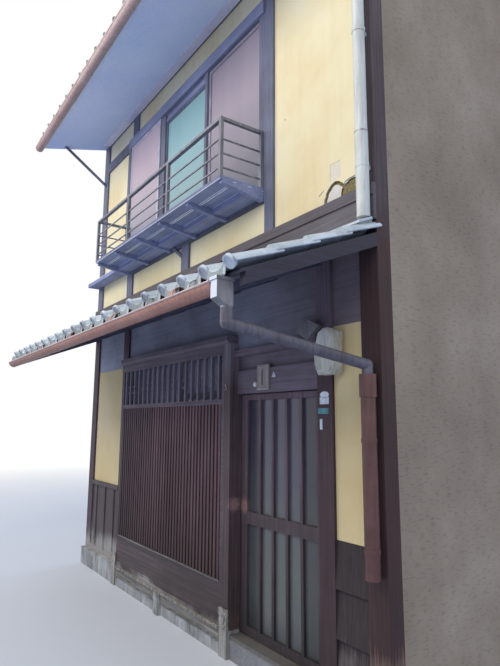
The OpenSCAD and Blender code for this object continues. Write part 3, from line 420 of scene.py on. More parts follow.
print("one fibre is", fibre_w, "m wide and", fibre_l, "m long")

# %% [markdown]
# Cream plaster
# The walls are earth plaster with a thin lime coat, trowelled and coloured cream. It gives the eye soft
# clouds of tone, faint rain streaks and a matt surface. Behind the lime coat lies brown earth, so depth
# behind the face chooses between the two, and a broken place shows its earth by itself.

# %% Plaster finishes
outer_face = -street - plaster_face


def cream_plaster():
    """Trowelled lime coat over earth; the coat is a few millimetres thick."""
    finish, tree, shader, place = start_finish("trowelled_cream_lime_plaster", Roughness=0.88)
    parts = add(tree, "SeparateXYZ", {}, {"Vector": place})
    clouds = add(tree, "TexNoise", {}, {"Vector": place, "Scale": 1.5, "Detail": 5.0, "Roughness": 0.55})
    cream_stops = [(0.32, "#e4cf9e"), (0.50, "#ebdcb0"), (0.70, "#f0e3c2")]
    base = add(tree, "ValToRGB", {"stops": cream_stops}, {"Fac": clouds})
    runs = drawn_noise(tree, place, (0.045, 0.5, 0.9), detail=3.0)
    base = shaded(tree, base, runs, [(0.30, 0.965), (0.55, 1.0)])
    grit = add(tree, "TexNoise", {}, {"Vector": place, "Scale": 240.0, "Detail": 2.0})
    crumbs = add(tree, "TexNoise", {}, {"Vector": place, "Scale": 60.0, "Detail": 4.0, "Roughness": 0.7})
    earth_stops = [(0.3, "#5f5439"), (0.55, "#82744c"), (0.72, "#a59669")]
    earth = add(tree, "ValToRGB", {"stops": earth_stops}, {"Fac": crumbs})
    patch = add(tree, "ValToRGB", {"stops": [(0.3, "#cfc5b6"), (0.7, "#ded6c8")]}, {"Fac": crumbs})
    outward = add(tree, "Math", {"operation": "ABSOLUTE"}, {0: parts.outputs["Y"]})
    depth = add(tree, "Math", {"operation": "SUBTRACT"}, {0: outer_face, 1: outward})
    in_patch = add(tree, "MapRange", {}, {"Value": depth, "From Min": 0.001, "From Max": 0.003})
    in_earth = add(tree, "MapRange", {}, {"Value": depth, "From Min": 0.009, "From Max": 0.012})
    base = tinted(tree, place, base, "Z", upper_floor_top, pent_roof_foot, "#f4e8d3")
    tone = add(tree, "Mix", BLEND, {AMOUNT: in_patch, FIRST: base, SECOND: patch})
    tone = add(tree, "Mix", BLEND, {AMOUNT: in_earth, FIRST: tone, SECOND: earth})
    wire(tree, tone, shader, "Base Color")
    trowel = drawn_noise(tree, place, (0.16, 0.16, 0.07), detail=3.0)
    relief = add(tree, "Bump", {}, {"Height": trowel, "Strength": 0.25, "Distance": 0.004})
    relief = add(tree, "Bump", {}, {"Height": grit, "Strength": 0.15, "Distance": 0.001, "Normal": relief})
    wire(tree, relief, shader, "Normal")
    return finish


def party_plaster():
    """Undyed earth plaster of the plain walls between the units of the row."""
    finish, tree, shader, place = start_finish("rough_earth_party_plaster", Roughness=0.92)
    clouds = add(tree, "TexNoise", {}, {"Vector": place, "Scale": 1.1, "Detail": 6.0, "Roughness": 0.6})
    party_stops = [(0.30, "#8d7d69"), (0.50, "#a08f79"), (0.70, "#b1a089")]
    base = add(tree, "ValToRGB", {"stops": party_stops}, {"Fac": clouds})
    straw = drawn_noise(tree, place, (0.01, 0.05, 0.012), detail=2.0)
    base = shaded(tree, base, straw, [(0.34, 0.80), (0.46, 1.0)])
    wire(tree, base, shader, "Base Color")
    grit = add(tree, "TexNoise", {}, {"Vector": place, "Scale": 9.0, "Detail": 6.0, "Roughness": 0.6})
    relief = add(tree, "Bump", {}, {"Height": grit, "Strength": 0.3, "Distance": 0.012})
    wire(tree, relief, shader, "Normal")
    return finish


cream = cream_plaster()
party = party_plaster()
print("plaster:", cream.name, "and", party.name)

# %% [markdown]
# Cement and stone
# The plinth is a cement render, whitened by lime and rain, with dark runs under the boards. The threshold
# is a worn granite kerb, grey and speckled, and darker along its top.


# %% Cement and stone finishes
def cement():
    """Floated cement render with runs of dirt and lime bloom."""
    finish, tree, shader, place = start_finish("floated_cement_plinth", Roughness=0.9)
    clouds = add(tree, "TexNoise", {}, {"Vector": place, "Scale": 5.0, "Detail": 6.0, "Roughness": 0.62})
    render_stops = [(0.32, "#807e78"), (0.47, "#a19f98"), (0.66, "#bfbdb5")]
    base = add(tree, "ValToRGB", {"stops": render_stops}, {"Fac": clouds})
    drips = drawn_noise(tree, place, (0.05, 0.05, 0.3), detail=4.0)
    base = shaded(tree, base, drips, [(0.30, "#a8a492"), (0.50, "#ffffff")], share=0.8)
    wire(tree, base, shader, "Base Color")
    pits = add(tree, "TexNoise", {}, {"Vector": place, "Scale": 70.0, "Detail": 5.0, "Roughness": 0.7})
    relief = add(tree, "Bump", {}, {"Height": pits, "Strength": 0.5, "Distance": 0.004})
    wire(tree, relief, shader, "Normal")
    return finish


def granite():
    """Worn granite with dark and pale crystals."""
    finish, tree, shader, place = start_finish("worn_granite_threshold", Roughness=0.7)
    crystals = add(tree, "TexNoise", {}, {"Vector": place, "Scale": 110.0, "Detail": 3.0, "Roughness": 0.8})
    stone_stops = [(0.35, "#7c7a77"), (0.52, "#908e8a"), (0.68, "#a6a49f")]
    base = add(tree, "ValToRGB", {"stops": stone_stops}, {"Fac": crystals})
    clouds = add(tree, "TexNoise", {}, {"Vector": place, "Scale": 4.0, "Detail": 4.0})
    base = shaded(tree, base, clouds, [(0.35, 0.70), (0.60, 1.0)])
    base = tinted(tree, place, base, "Z", 0.120, 0.135, "#c6c1bb")
    wire(tree, base, shader, "Base Color")
    relief = add(tree, "Bump", {}, {"Height": crystals, "Strength": 0.3, "Distance": 0.002})
    wire(tree, relief, shader, "Normal")
    return finish


cement_finish = cement()
granite_finish = granite()
print("foot of the house:", cement_finish.name, "and", granite_finish.name)

# %% [markdown]
# Smoked clay tiles
# The roof tiles are fired in smoke, which leaves a thin skin of carbon with a dull silver sheen. Each one
# took the smoke a little differently, so a chance number for each tile shifts its grey, and rain has
# dulled it in patches.

# %% Tile finish
tiles_across = 20
tile_pitch = house_w / tiles_across
cell_start = (-left_end, 20.0, 0.0)
cell_size = (tile_pitch, 0.228, 50.0)
dullest = 0.065
own_share = 0.22
patch_share = 0.75


def smoked_clay(name, dark, pale, roughness):
    """Carbon-smoked clay tile with a grey of its own for each tile."""
    finish, tree, shader, place = start_finish(name, Roughness=roughness, Specular_IOR_Level=0.6)
    cell = add(tree, "VectorMath", {"operation": "ADD"}, {0: place, 1: cell_start})
    cell = add(tree, "VectorMath", {"operation": "DIVIDE"}, {0: cell, 1: cell_size})
    cell = add(tree, "VectorMath", {"operation": "FLOOR"}, {0: cell})
    chance = add(tree, "TexWhiteNoise", {"noise_dimensions": "3D"}, {"Vector": cell})
    patches = add(tree, "TexNoise", {}, {"Vector": place, "Scale": 7.0, "Detail": 6.0, "Roughness": 0.65})
    chance = chance.outputs["Value"]
    own = add(tree, "Math", {"operation": "MULTIPLY_ADD"}, {0: chance, 1: own_share, 2: dullest})
    level = add(tree, "Math", {"operation": "MULTIPLY_ADD"}, {0: patches, 1: patch_share, 2: own})
    base = add(tree, "ValToRGB", {"stops": [(0.28, dark), (0.75, pale)]}, {"Fac": level})
    wire(tree, base, shader, "Base Color")
    skin = add(tree, "TexNoise", {}, {"Vector": place, "Scale": 90.0, "Detail": 4.0})
    relief = add(tree, "Bump", {}, {"Height": skin, "Strength": 0.2, "Distance": 0.001})
    wire(tree, relief, shader, "Normal")
    return finish


tile_finish = smoked_clay("smoked_clay_tiles", "#949c9e", "#dbe2e3", 0.38)
# Painted shade: a darker copy of the clay for the tile ends that look out from the eave, turned from the
# sky.
shaded_eave_clay = smoked_clay("smoked_clay_eave_ends_painted_shade", "#66706e", "#98a3a1", 0.5)
print(tiles_across, "tiles across, each", round(tile_pitch, 3), "m wide")

# %% [markdown]
# Painted metal, vinyl and glass
# The old gutter is vinyl-coated sheet that the sun has faded to orange-brown, the pipes are dusty grey and
# red-brown vinyl, and the railing is galvanised iron with dull paint and rust at its joints. The grey pipe
# is darker below its hopper, painted shade, and the hopper's street face is paler, painted light. Window
# panes are float glass in front of drawn curtains, so the curtain gives the colour and the glass the gloss.


# %% How a coated finish is built up
def coated(
    name, dark, pale, streak, roughness, metal=0.0, rust=0.0, above=(), cloud=6.0, tints=(), painted_lit_side=""
):
    """Coated or moulded sheet with dust clouds and rain runs. Iron may have rust, and what reaches above a
    height may have tones of its own and a painted lit side, its street faces painted paler."""
    finish, tree, shader, place = start_finish(name, Roughness=roughness, Metallic=metal)
    clouds = add(tree, "TexNoise", {}, {"Vector": place, "Scale": cloud, "Detail": 6.0, "Roughness": 0.6})
    base = add(tree, "ValToRGB", {"stops": [(0.33, dark), (0.66, pale)]}, {"Fac": clouds})
    if above:
        height, dark_above, pale_above = above
        level = add(tree, "SeparateXYZ", {}, {"Vector": place}).outputs["Z"]
        higher = add(tree, "Math", {"operation": "GREATER_THAN"}, {0: level, 1: height})
        other = add(tree, "ValToRGB", {"stops": [(0.33, dark_above), (0.66, pale_above)]}, {"Fac": clouds})
        base = add(tree, "Mix", BLEND, {AMOUNT: higher, FIRST: base, SECOND: other})
    for tint in tints:
        base = tinted(tree, place, base, *tint)
    runs = drawn_noise(tree, place, (0.02, 0.02, 0.25), detail=3.0)
    base = shaded(tree, base, runs, [(0.35, streak), (0.55, "#ffffff")], share=0.7)
    if painted_lit_side:
        # Painted light: above the height, faces turned to the street take a paler tone, as a lit side.
        facing = add(tree, "TexCoord", {}, {}).outputs["Normal"]
        facing = add(tree, "SeparateXYZ", {}, {"Vector": facing}).outputs["Y"]
        lit = add(tree, "MapRange", {}, {"Value": facing, "From Min": -0.75, "From Max": -0.95})
        lit = add(tree, "Math", {"operation": "MULTIPLY"}, {0: lit, 1: higher})
        base = add(tree, "Mix", BLEND, {AMOUNT: lit, FIRST: base, SECOND: painted_lit_side})
    if rust:
        spots = add(tree, "TexNoise", {}, {"Vector": place, "Scale": 26.0, "Detail": 5.0, "Roughness": 0.7})
        spread = add(tree, "ValToRGB", {"stops": [(1.0 - rust, 0.0), (1.06 - rust, 1.0)]}, {"Fac": spots})
        base = add(tree, "Mix", BLEND, {AMOUNT: spread, FIRST: base, SECOND: "#7a5240"})
    wire(tree, base, shader, "Base Color")
    dust = add(tree, "TexNoise", {}, {"Vector": place, "Scale": 120.0, "Detail": 3.0})
    relief = add(tree, "Bump", {}, {"Height": dust, "Strength": 0.12, "Distance": 0.001})
    wire(tree, relief, shader, "Normal")
    return finish


# %% Gutter, pipe, railing, meter and soffit finishes
hopper_foot = 2.125
lozenge_end = 1.838
gutter_finish = coated(
    "sun_faded_vinyl_coated_gutter", "#ac7662", "#bd8873", "#d8ccc8", 0.5, cloud=2.2,
    tints=[("X", 1.0, -2.2, "#cfc4c8")], above=(4.0, "#b79a92", "#cbb2aa")
)
# Painted shade: the run below the hopper takes darker tones than the hopper above it.
grey_pipe_finish = coated(
    "grey_vinyl_pipe_with_painted_shade_below", "#57535b", "#6c6870", "#b5b6b8", 0.5,
    above=(hopper_foot, "#787473", "#908c89"), painted_lit_side="#e4e6e8"
)
brown_pipe_finish = coated(
    "red_brown_and_grey_vinyl_pipes", "#50312e", "#6a4540", "#dcd8d8", 0.45,
    above=(pent_roof_foot, "#c8cabe", "#dadbcf")
)
railing_finish = coated(
    "dull_painted_iron_railing", "#6f7079", "#8e8f98", "#a39a96", 0.55, metal=0.25, rust=0.36
)
meter_finish = coated(
    "pale_moulded_meter_case", "#c2bead", "#dcd7c7", "#cdcbbf", 0.4,
    tints=[("X", lozenge_end, lozenge_end - 0.002, "#9a97a2")]
)
steel_finish = coated(
    "galvanised_steel_fittings", "#8a8d90", "#a9adb0", "#a6a6a4", 0.45, metal=0.8, rust=0.3
)
# The soffit's pale blue is partly the boards' own paint and partly painted sky light in the shade under the
# eave.
sky_lit_soffit_finish = coated(
    "soffit_boards_with_painted_sky_light", "#d0dcf6", "#dee7f8", "#f2f5fa", 0.6, cloud=1.5,
    tints=[("X", -1.2, -2.28, "#d8deec")]
)
soffit_edge_finish = coated("dusty_soffit_edge_board", "#d2cee2", "#e2def0", "#f0eef4", 0.65, cloud=3.0)
print("pipes change tone at", hopper_foot, "and", pent_roof_foot, "m")


# %% Glass finishes
def door_glass():
    """Old figured glass: it lets a little light through and blurs what is behind."""
    finish, tree, shader, place = start_finish(
        "figured_door_glass", Roughness=0.25, IOR=1.5, Transmission_Weight=0.2
    )
    ripple = drawn_noise(tree, place, (0.03, 0.03, 0.4), detail=2.0)
    blur = drawn_noise(tree, place, (0.5, 0.5, 0.35), detail=2.0)
    height = add(tree, "SeparateXYZ", {}, {"Vector": place}).outputs["Z"]
    level = add(tree, "MapRange", {}, {"Value": height, "From Min": 0.2, "From Max": 1.8})
    level = add(tree, "Math", {"operation": "MULTIPLY_ADD"}, {0: blur, 1: 0.5, 2: level})
    pane_stops = [(0.15, "#525452"), (0.45, "#70726c"), (0.80, "#6a6a69"), (1.0, "#625e69")]
    tint = add(tree, "ValToRGB", {"stops": pane_stops}, {"Fac": level})
    tint = tinted(tree, place, tint, "X", 1.50, 1.60, "#c4c2c4")
    tint = tinted(tree, place, tint, "X", 1.12, 1.02, "#c0c2c6")
    wire(tree, tint, shader, "Base Color")
    relief = add(tree, "Bump", {}, {"Height": ripple, "Strength": 0.1, "Distance": 0.001})
    wire(tree, relief, shader, "Normal")
    return finish


def curtained_glass():
    """Float glass over drawn curtains: mauve in the two outer fields, blue-green in the middle one."""
    finish, tree, shader, place = start_finish(
        "glass_over_plain_curtains", Roughness=0.5, Coat_Weight=0.12, Coat_Roughness=0.15, Coat_IOR=1.5
    )
    parts = add(tree, "SeparateXYZ", {}, {"Vector": place})
    across = add(tree, "MapRange", {}, {"Value": parts.outputs["X"], "From Min": -1.25, "From Max": 1.25})
    # Painted light: the curtains are lighter at the top than at the foot, against the shade of the eave.
    painted_light_top_stops = [(0.26, "#b6a2aa"), (0.28, "#88aeb0"), (0.63, "#88adae"), (0.645, "#9d8f97")]
    foot_stops = [(0.26, "#868995"), (0.28, "#7e999c"), (0.63, "#809b9c"), (0.645, "#5d5e69")]
    top = add(tree, "ValToRGB", {"stops": painted_light_top_stops}, {"Fac": across})
    foot = add(tree, "ValToRGB", {"stops": foot_stops}, {"Fac": across})
    level = add(tree, "MapRange", {}, {"Value": parts.outputs["Z"], "From Min": 3.40, "From Max": 4.15})
    tone = add(tree, "Mix", BLEND, {AMOUNT: level, FIRST: foot, SECOND: top})
    folds = drawn_noise(tree, place, (0.09, 0.09, 3.0), detail=2.0)
    tone = shaded(tree, tone, folds, [(0.3, 0.95), (0.6, 1.0)])
    wire(tree, tone, shader, "Base Color")
    return finish


door_glass_finish = door_glass()
screen_finish = coated(
    "dusty_screen_panes", "#3e3e48", "#54545f", "#d8d8d8", 0.35, above=(1.75, "#8f8b9a", "#a6a2ae")
)
curtain_finish = curtained_glass()
print("glass:", door_glass_finish.name, "and", curtain_finish.name)

# %% [markdown]
# Dress the solid pieces
# Each solid piece keeps its shape and takes the finish of the real thing. Posts, beams and rafters differ
# in the direction of their grain, and in how much rain and sun has reached them.

# %% Give each solid piece its finish
wear = {
    cement_finish: ["plinth", "ground_floor"],
    granite_finish: ["threshold"],
    party: ["left_party_wall", "right_party_wall"],
    cream: ["lower_plaster", "upper_plaster", "rear_plaster"],
    post_timber: ["front_posts", "rear_posts", "eave_strut"],
    beam_timber: ["wall_beams"],
    window_timber: ["window_frame", "rear_window_frames"],
    flashing_timber: ["flashing_boards"],
    balcony_timber: ["balcony_floor"],
    rafter_timber: ["pent_rafters"],
    deck_timber: ["pent_decks"],
    hazy_frieze_timber: ["frieze_boards"],
    jamb_timber: ["door_jambs", "inner_screen"],
    leaf_timber: ["front_door"],
    upper_lattice_timber: ["lattice_upper"],
    rail_timber: ["door_head"],
    lattice_rail_timber: ["lattice_frame"],
    lattice_timber: ["lattice_lower"],
    board_timber: ["front_wainscots", "rear_wainscots"],
    skirt_timber: ["skirt_board"],
    floor_timber: ["upper_floor", "roof_deck"],
    tile_finish: ["roof_tiles", "roof_ridge", "pent_tiles"],
    gutter_finish: ["gutters"],
    grey_pipe_finish: ["rain_hopper"],
    brown_pipe_finish: ["downpipes"],
    railing_finish: ["balcony_railing", "railing_returns"],
    meter_finish: ["electric_meter"],
    sky_lit_soffit_finish: ["eave_soffits"],
    door_glass_finish: ["door_glass"],
    screen_finish: ["screen_glass"],
    curtain_finish: ["window_panes", "rear_panes"],
}
for finish, names in wear.items():
    for name in names:
        for material_slot in nodes[name].material_slots:
            material_slot.material = finish
dressed = sum(len(names) for names in wear.values())
print("dressed", dressed, "of", len(nodes), "solid pieces")

# %% [markdown]
# Open a piece and pick from it
# Every new piece starts from a primitive and is shaped in edit mode. The first helpers leave one object
# active, open it, and pick its faces, edges or points by their place.

# %% Helpers that select
ALL = "SELECT"
facing = 0.9


def nothing():
    """Leaves nothing selected, in object mode."""
    if bpy.context.mode != "OBJECT":
        bpy.ops.object.mode_set(mode="OBJECT")
    bpy.ops.object.select_all(action="DESELECT")


def only(piece):
    """Leaves one object selected and active, in object mode."""
    nothing()
    piece.select_set(True)
    bpy.context.view_layer.objects.active = piece


def edit(piece, chosen="DESELECT"):
    """Opens a piece in edit mode, with nothing of it selected or all of it."""
    only(piece)
    bpy.ops.object.mode_set(mode="EDIT")
    bpy.ops.mesh.select_all(action=chosen)


def pick(kind, test):
    """Selects the faces, edges or points of the open piece whose middle, and direction, pass a test."""
    bpy.ops.mesh.select_all(action="DESELECT")
    bpy.ops.mesh.select_mode(type=kind)
    mesh = bpy.context.edit_object.data
    shape = bmesh.from_edit_mesh(mesh)
    if kind == "FACE":
        for face in shape.faces:
            face.select_set(test(face.calc_center_median(), face.normal))
    elif kind == "EDGE":
        for edge in shape.edges:
            first, second = (corner.co for corner in edge.verts)
            edge.select_set(test((first + second) / 2, (second - first).normalized()))
    else:
        for point in shape.verts:
            point.select_set(test(point.co, point.normal))
    shape.select_flush_mode()
    bmesh.update_edit_mesh(mesh)


def pick_front(piece):
    """Opens a piece and selects the faces that look at the street."""
    edit(piece)
    pick("FACE", lambda middle, way: way.y < -facing)


# %% [markdown]
# Shape, copy and hand over
# These helpers take up the moves that repeat: draw faces out, sink them inside a rim, weld, cut by a plane,
# smooth, apply a modifier, repeat in a row and copy to the rear. The last one hands a finished piece over to
# the body it rides on.


# %% Helpers that shape
def extrude(way):
    """Draws the picked faces out along a direction."""
    bpy.ops.mesh.extrude_region_move(TRANSFORM_OT_translate={"value": way})


def sink(rim, way):
    """Leaves a rim round the picked faces and moves what lies inside it."""
    bpy.ops.mesh.inset(thickness=rim)
    extrude(way)


def weld(gap):
    """Merges the points of the open piece that are closer than a gap, and turns its faces outward."""
    bpy.ops.mesh.select_all(action=ALL)
    bpy.ops.mesh.remove_doubles(threshold=gap)
    bpy.ops.mesh.normals_make_consistent(inside=False)


def trim(piece, place, way, **kept):
    """Cuts a whole piece by the plane through a place."""
    edit(piece, ALL)
    bpy.ops.mesh.bisect(plane_co=place, plane_no=way, **kept)


def smooth(piece, degrees):
    """Smooths a piece, apart from its edges sharper than an angle."""
    only(piece)
    bpy.ops.object.shade_smooth_by_angle(angle=math.radians(degrees))


# %% Helpers that apply, copy and join
def modify(piece, kind, **settings):
    """Adds a modifier with its settings and applies it."""
    only(piece)
    modifier = piece.modifiers.new(kind.lower(), kind)
    for name, value in settings.items():
        setattr(modifier, name, value)
    bpy.ops.object.modifier_apply(modifier=modifier.name)


def repeat(piece, count, step):
    """Repeats a piece in a row, each copy one step further."""
    row = {"use_relative_offset": False, "use_constant_offset": True, "constant_offset_displace": step}
    modify(piece, "ARRAY", count=count, **row)


def settle(piece):
    """Puts a piece's place, turn and size into its mesh."""
    only(piece)
    bpy.ops.object.transform_apply(location=True, rotation=True, scale=True)


def duplicate(piece):
    """A copy with a mesh of its own."""
    copy = piece.copy()
    copy.data = piece.data.copy()
    bpy.context.scene.collection.objects.link(copy)
    return copy


def turn_to_rear(piece):
    """Turns a piece half round about the middle of the house."""
    piece.data.transform(Matrix.Rotation(math.pi, 4, "Z"))
    return piece


def join(name, *parts):
    """Joins parts into one piece."""
    only(parts[0])
    for part in parts:
        part.select_set(True)
    bpy.ops.object.join()
    parts[0].name = name
    return parts[0]


def front_and_rear(name, piece):
    """Joins a piece with a copy of it at the rear."""
    return join(name, piece, turn_to_rear(duplicate(piece)))


# %% Primitives and the hand-over
along_x = (0, math.pi / 2, 0)
along_y = (math.pi / 2, 0, 0)


def block(name, low, high, bevel=0.0):
    """A box between two corners, with its edges eased."""
    nothing()
    bpy.ops.mesh.primitive_cube_add(size=1.0, location=[(a + b) / 2 for a, b in zip(low, high)])
    piece = bpy.context.active_object
    piece.name = name
    piece.scale = [b - a for a, b in zip(low, high)]
    settle(piece)
    if bevel:
        modify(piece, "BEVEL", width=bevel, segments=2, limit_method="ANGLE")
    return piece


def board(name, across, up, back, thick, bevel=0.0):
    """A box that lies against the street side of a face, between two places across and two heights."""
    return block(name, (across[0], back - thick, up[0]), (across[1], back, up[1]), bevel)


def tube(name, radius, depth, place, turn, sides=24, ends="NGON"):
    """A round bar or tube at its place."""
    nothing()
    bpy.ops.mesh.primitive_cylinder_add(
        vertices=sides, radius=radius, depth=depth, end_fill_type=ends, location=place, rotation=turn
    )
    piece = bpy.context.active_object
    piece.name = name
    settle(piece)
    return piece


def hand_over(piece, finish, slot, *replaced, body="house"):
    """Gives a finished piece its finish and body, and hides the solids it stands for. Its slot argument is
    not used.
    """
    settle(piece)
    if finish:
        piece.data.materials.clear()
        piece.data.materials.append(finish)
    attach(piece, body)
    if replaced:
        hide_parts(*replaced)
    print(piece.name, len(piece.data.polygons), "faces")


# %% [markdown]
# One roof tile
# A sangawara tile is a shallow trough with a roll along one side that covers the edge of its neighbour.
# Its section is two arcs, so two round tubes are cut down to arcs and joined, and a Solidify modifier
# gives the clay its thickness. The eave tile has an apron that hangs from the trough and a round disc
# that closes the roll.

# %% Model one tile
clay_t = 0.013
roll_half = 0.038
roll_rise = 0.028
trough_half = tile_pitch / 2 - roll_half
trough_dip = 0.024
tile_lap = 0.045
apron_h = 0.042
apron_top = 0.003
disc_r = 0.037
disc_t = 0.020
disc_drop = 0.018
touch = 0.001


def arc_radius(half_width, rise):
    """Radius of the arc that spans a width and rises by a height in its middle."""
    return (half_width**2 + rise**2) / (2 * rise)


def tile_arc(half_width, rise, side, middle, length, sides):
    """One arc of the tile's section, running up the slope from y = 0."""
    radius = arc_radius(half_width, rise)
    centre = (middle, length / 2, side * (rise - radius))
    arc = tube("arc", radius, length, centre, along_y, sides, "NOTHING")
    trim(arc, (0, 0, 0), (0, 0, -side), clear_outer=True)
    return arc


def model_tile(length, slope, eave=False):
    """A tile with its lower edge at y = 0; its trough starts at x = 0."""
    roll_x = 2 * trough_half + roll_half
    trough = tile_arc(trough_half, trough_dip, -1, trough_half, length, sides=44)
    roll = tile_arc(roll_half, roll_rise, 1, roll_x, length, sides=22)
    tile = join("tile", trough, roll)
    edit(tile)
    weld(gap=0.002)
    if eave:
        hang = Vector((0, -math.sin(slope), -math.cos(slope))) * apron_h
        pick(
            "EDGE",
            lambda middle, way: middle.y < touch and middle.z < apron_top and middle.x < 2 * trough_half
        )
        bpy.ops.mesh.extrude_edges_move(TRANSFORM_OT_translate={"value": hang})
    only(tile)
    up = sum((face.normal.z for face in tile.data.polygons), 0.0)
    modify(tile, "SOLIDIFY", thickness=clay_t, offset=1.0 if up > 0 else -1.0, use_even_offset=True)
    if eave:
        centre = (roll_x, 0, roll_rise - disc_drop)
        disc = tube("disc", disc_r, disc_t, centre, (math.pi / 2 + slope, 0, 0), sides=18)
        pick_front(disc)
        sink(rim=disc_r * 0.26, way=(0, disc_t * 0.3, 0))
        tile = join("eave_tile", tile, disc)
    smooth(tile, degrees=38)
    return tile


# %% [markdown]
# Fields of tiles
# Tiles lie in courses, each lapping the one below. One tile is turned to the slope of the roof and
# repeated by two arrays, along the eave and up the slope, then the field is copied to the rear. The ends
# that look out from the eave take a darker copy of the clay, painted shade on faces turned from the sky.

# %% Lay the courses
shaded_end_facing = 0.8
shaded_end_depth = 0.05


def tile_field(name, node, slope, deck_low, courses):
    """Courses of tiles over one roof, front and rear, in place of the solid slab."""
    low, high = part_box(node)
    run = high.y - ridge_gap[node]
    gauge = run / math.cos(slope) / courses
    tilt = math.asin(clay_t / gauge)
    eave_point = Vector((left_end, low.y, deck_low))
    step = Vector((0, math.cos(slope), math.sin(slope))) * gauge
    first = model_tile(gauge + tile_lap, slope, eave=True)
    plain = model_tile(gauge + tile_lap, slope)
    fields = []
    for tile, start, rows in ((first, 0, 1), (plain, 1, courses - 1)):
        tile.rotation_euler = (slope - tilt, 0, 0)
        lift = Vector((0, -math.sin(slope), math.cos(slope))) * (trough_dip + clay_t)
        tile.location = eave_point + step * start + lift
        settle(tile)
        repeat(tile, tiles_across, (tile_pitch, 0, 0))
        if rows > 1:
            repeat(tile, rows, step)
        fields.append(tile)
    field = front_and_rear(name, join(name, *fields))
    field.data.materials.clear()
    field.data.materials.append(tile_finish)
    field.data.materials.append(shaded_eave_clay)
    # The ends that look out from the eave take the darker copy, which is painted shade.
    edit(field)
    pick("FACE", lambda middle, way: abs(way.y) > shaded_end_facing and abs(middle.y) > -low.y - shaded_end_depth)
    field.active_material_index = 1
    bpy.ops.object.material_slot_assign()
    only(field)
    print(name, "gauge", round(gauge, 3), "m, courses", courses)
    return field


pent_rise = 0.40
main_rise = 0.35
pent_slope = math.atan(pent_rise)
main_slope = math.atan(main_rise)
pent_deck_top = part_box("pent_tiles")[0].z
roof_deck_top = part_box("roof_tiles")[0].z
ridge_gap = {"pent_tiles": yard, "roof_tiles": 0.10}
pent_field = tile_field("pent_tile_courses", "pent_tiles", pent_slope, pent_deck_top, courses=4)
hand_over(pent_field, None, "roof_tile", "pent_tiles")
roof_field = tile_field("roof_tile_courses", "roof_tiles", main_slope, roof_deck_top, courses=18)
hand_over(roof_field, None, "roof_tile", "roof_tiles")

# %% [markdown]
# The ridge
# Where the two slopes meet, flat noshi tiles are stacked on a bed of lime mortar, each course a little
# narrower, and half-round caps run along the top. One segment of each is modelled and repeated by an
# array, with a few millimetres between segments as the real joints have.

# %% Ridge courses and caps
ridge_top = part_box("roof_ridge")[1].z
ridge_segments = 15
ridge_step = house_w / ridge_segments
joint_gap = 0.003
noshi_t = 0.027
noshi_foot = 6.500
noshi_rise = noshi_t + 0.006
noshi_top = (1, 0.93, 1)
cap_r = 0.074
cap_z = ridge_top - cap_r
cap_l = ridge_step - 2 * joint_gap
cap_sides = 24
cap_foot = (0, 0, cap_z - 0.02)
collar_in = 0.026

ridge_parts = []
for course, half_width in enumerate((0.113, 0.101, 0.089)):
    foot = noshi_foot + course * noshi_rise
    low = (left_end + joint_gap, -half_width, foot)
    high = (left_end + ridge_step - joint_gap, half_width, foot + noshi_t)
    noshi = block("noshi", low, high, bevel=0.004)
    edit(noshi)
    pick("FACE", lambda middle, way: way.z > facing)
    bpy.ops.transform.resize(value=noshi_top)
    ridge_parts.append(noshi)
cap = tube("cap", cap_r, cap_l, (left_end + ridge_step / 2, 0, cap_z), along_x, cap_sides, "NOTHING")
trim(cap, cap_foot, (0, 0, 1), clear_inner=True)
modify(cap, "SOLIDIFY", thickness=clay_t, offset=-1.0)
collar_place = (left_end + collar_in, 0, cap_z)
collar = tube("collar", radius=cap_r + 0.006, depth=0.045, place=collar_place, turn=along_x, sides=cap_sides)
trim(collar, cap_foot, (0, 0, 1), clear_inner=True, use_fill=True)
ridge = join("ridge_tiles", *ridge_parts, cap, collar)
repeat(ridge, ridge_segments, (ridge_step, 0, 0))

# %% End discs of the ridge
end_in = 0.018
end_drop = 0.110
ends = []
for side in (-1, 1):
    place = (side * (right_end - end_in), 0, ridge_top - end_drop)
    end = tube("end", radius=0.104, depth=0.034, place=place, turn=along_x, sides=32)
    edit(end)
    pick("FACE", lambda middle, way: way.x * side > facing)
    sink(rim=0.022, way=(-side * 0.008, 0, 0))
    sink(rim=0.030, way=(side * 0.006, 0, 0))
    ends.append(end)
ridge = join("ridge_tiles", ridge, *ends)
smooth(ridge, degrees=35)
hand_over(ridge, tile_finish, "roof_tile", "roof_ridge")

# %% Mortar bed under the ridge
bed_half = 0.098
bed_foot = 6.420
bed_in = 0.01
bed_spread = (1, 1.35, 1)
bed_high = (right_end - bed_in, bed_half, noshi_foot + 0.004)
bed = block("ridge_mortar_bed", (left_end + bed_in, -bed_half, bed_foot), bed_high)
edit(bed)
pick("FACE", lambda middle, way: way.z < -facing)
bpy.ops.transform.resize(value=bed_spread)
hand_over(bed, cement_finish, "roof_tile")

# %% [markdown]
# Hooks and joints of the gutters
# Each gutter hangs in flat steel hooks that are nailed to the rafters, and its lengths meet in wider
# joints. One strap is a small rectangle spun half a turn round the gutter, and a hook is also drawn up at
# its back. It is then repeated along the eave. A thin steel collar sits on the upper pipe.

# %% Straps round the gutters and the collar of the pipe
hook_w = 0.020
joint_w = 0.045
strap_t = 0.004
strap_steps = 12
pent_gutter = (0.930, 2.246)
eave_gutter = (0.825, 4.872)


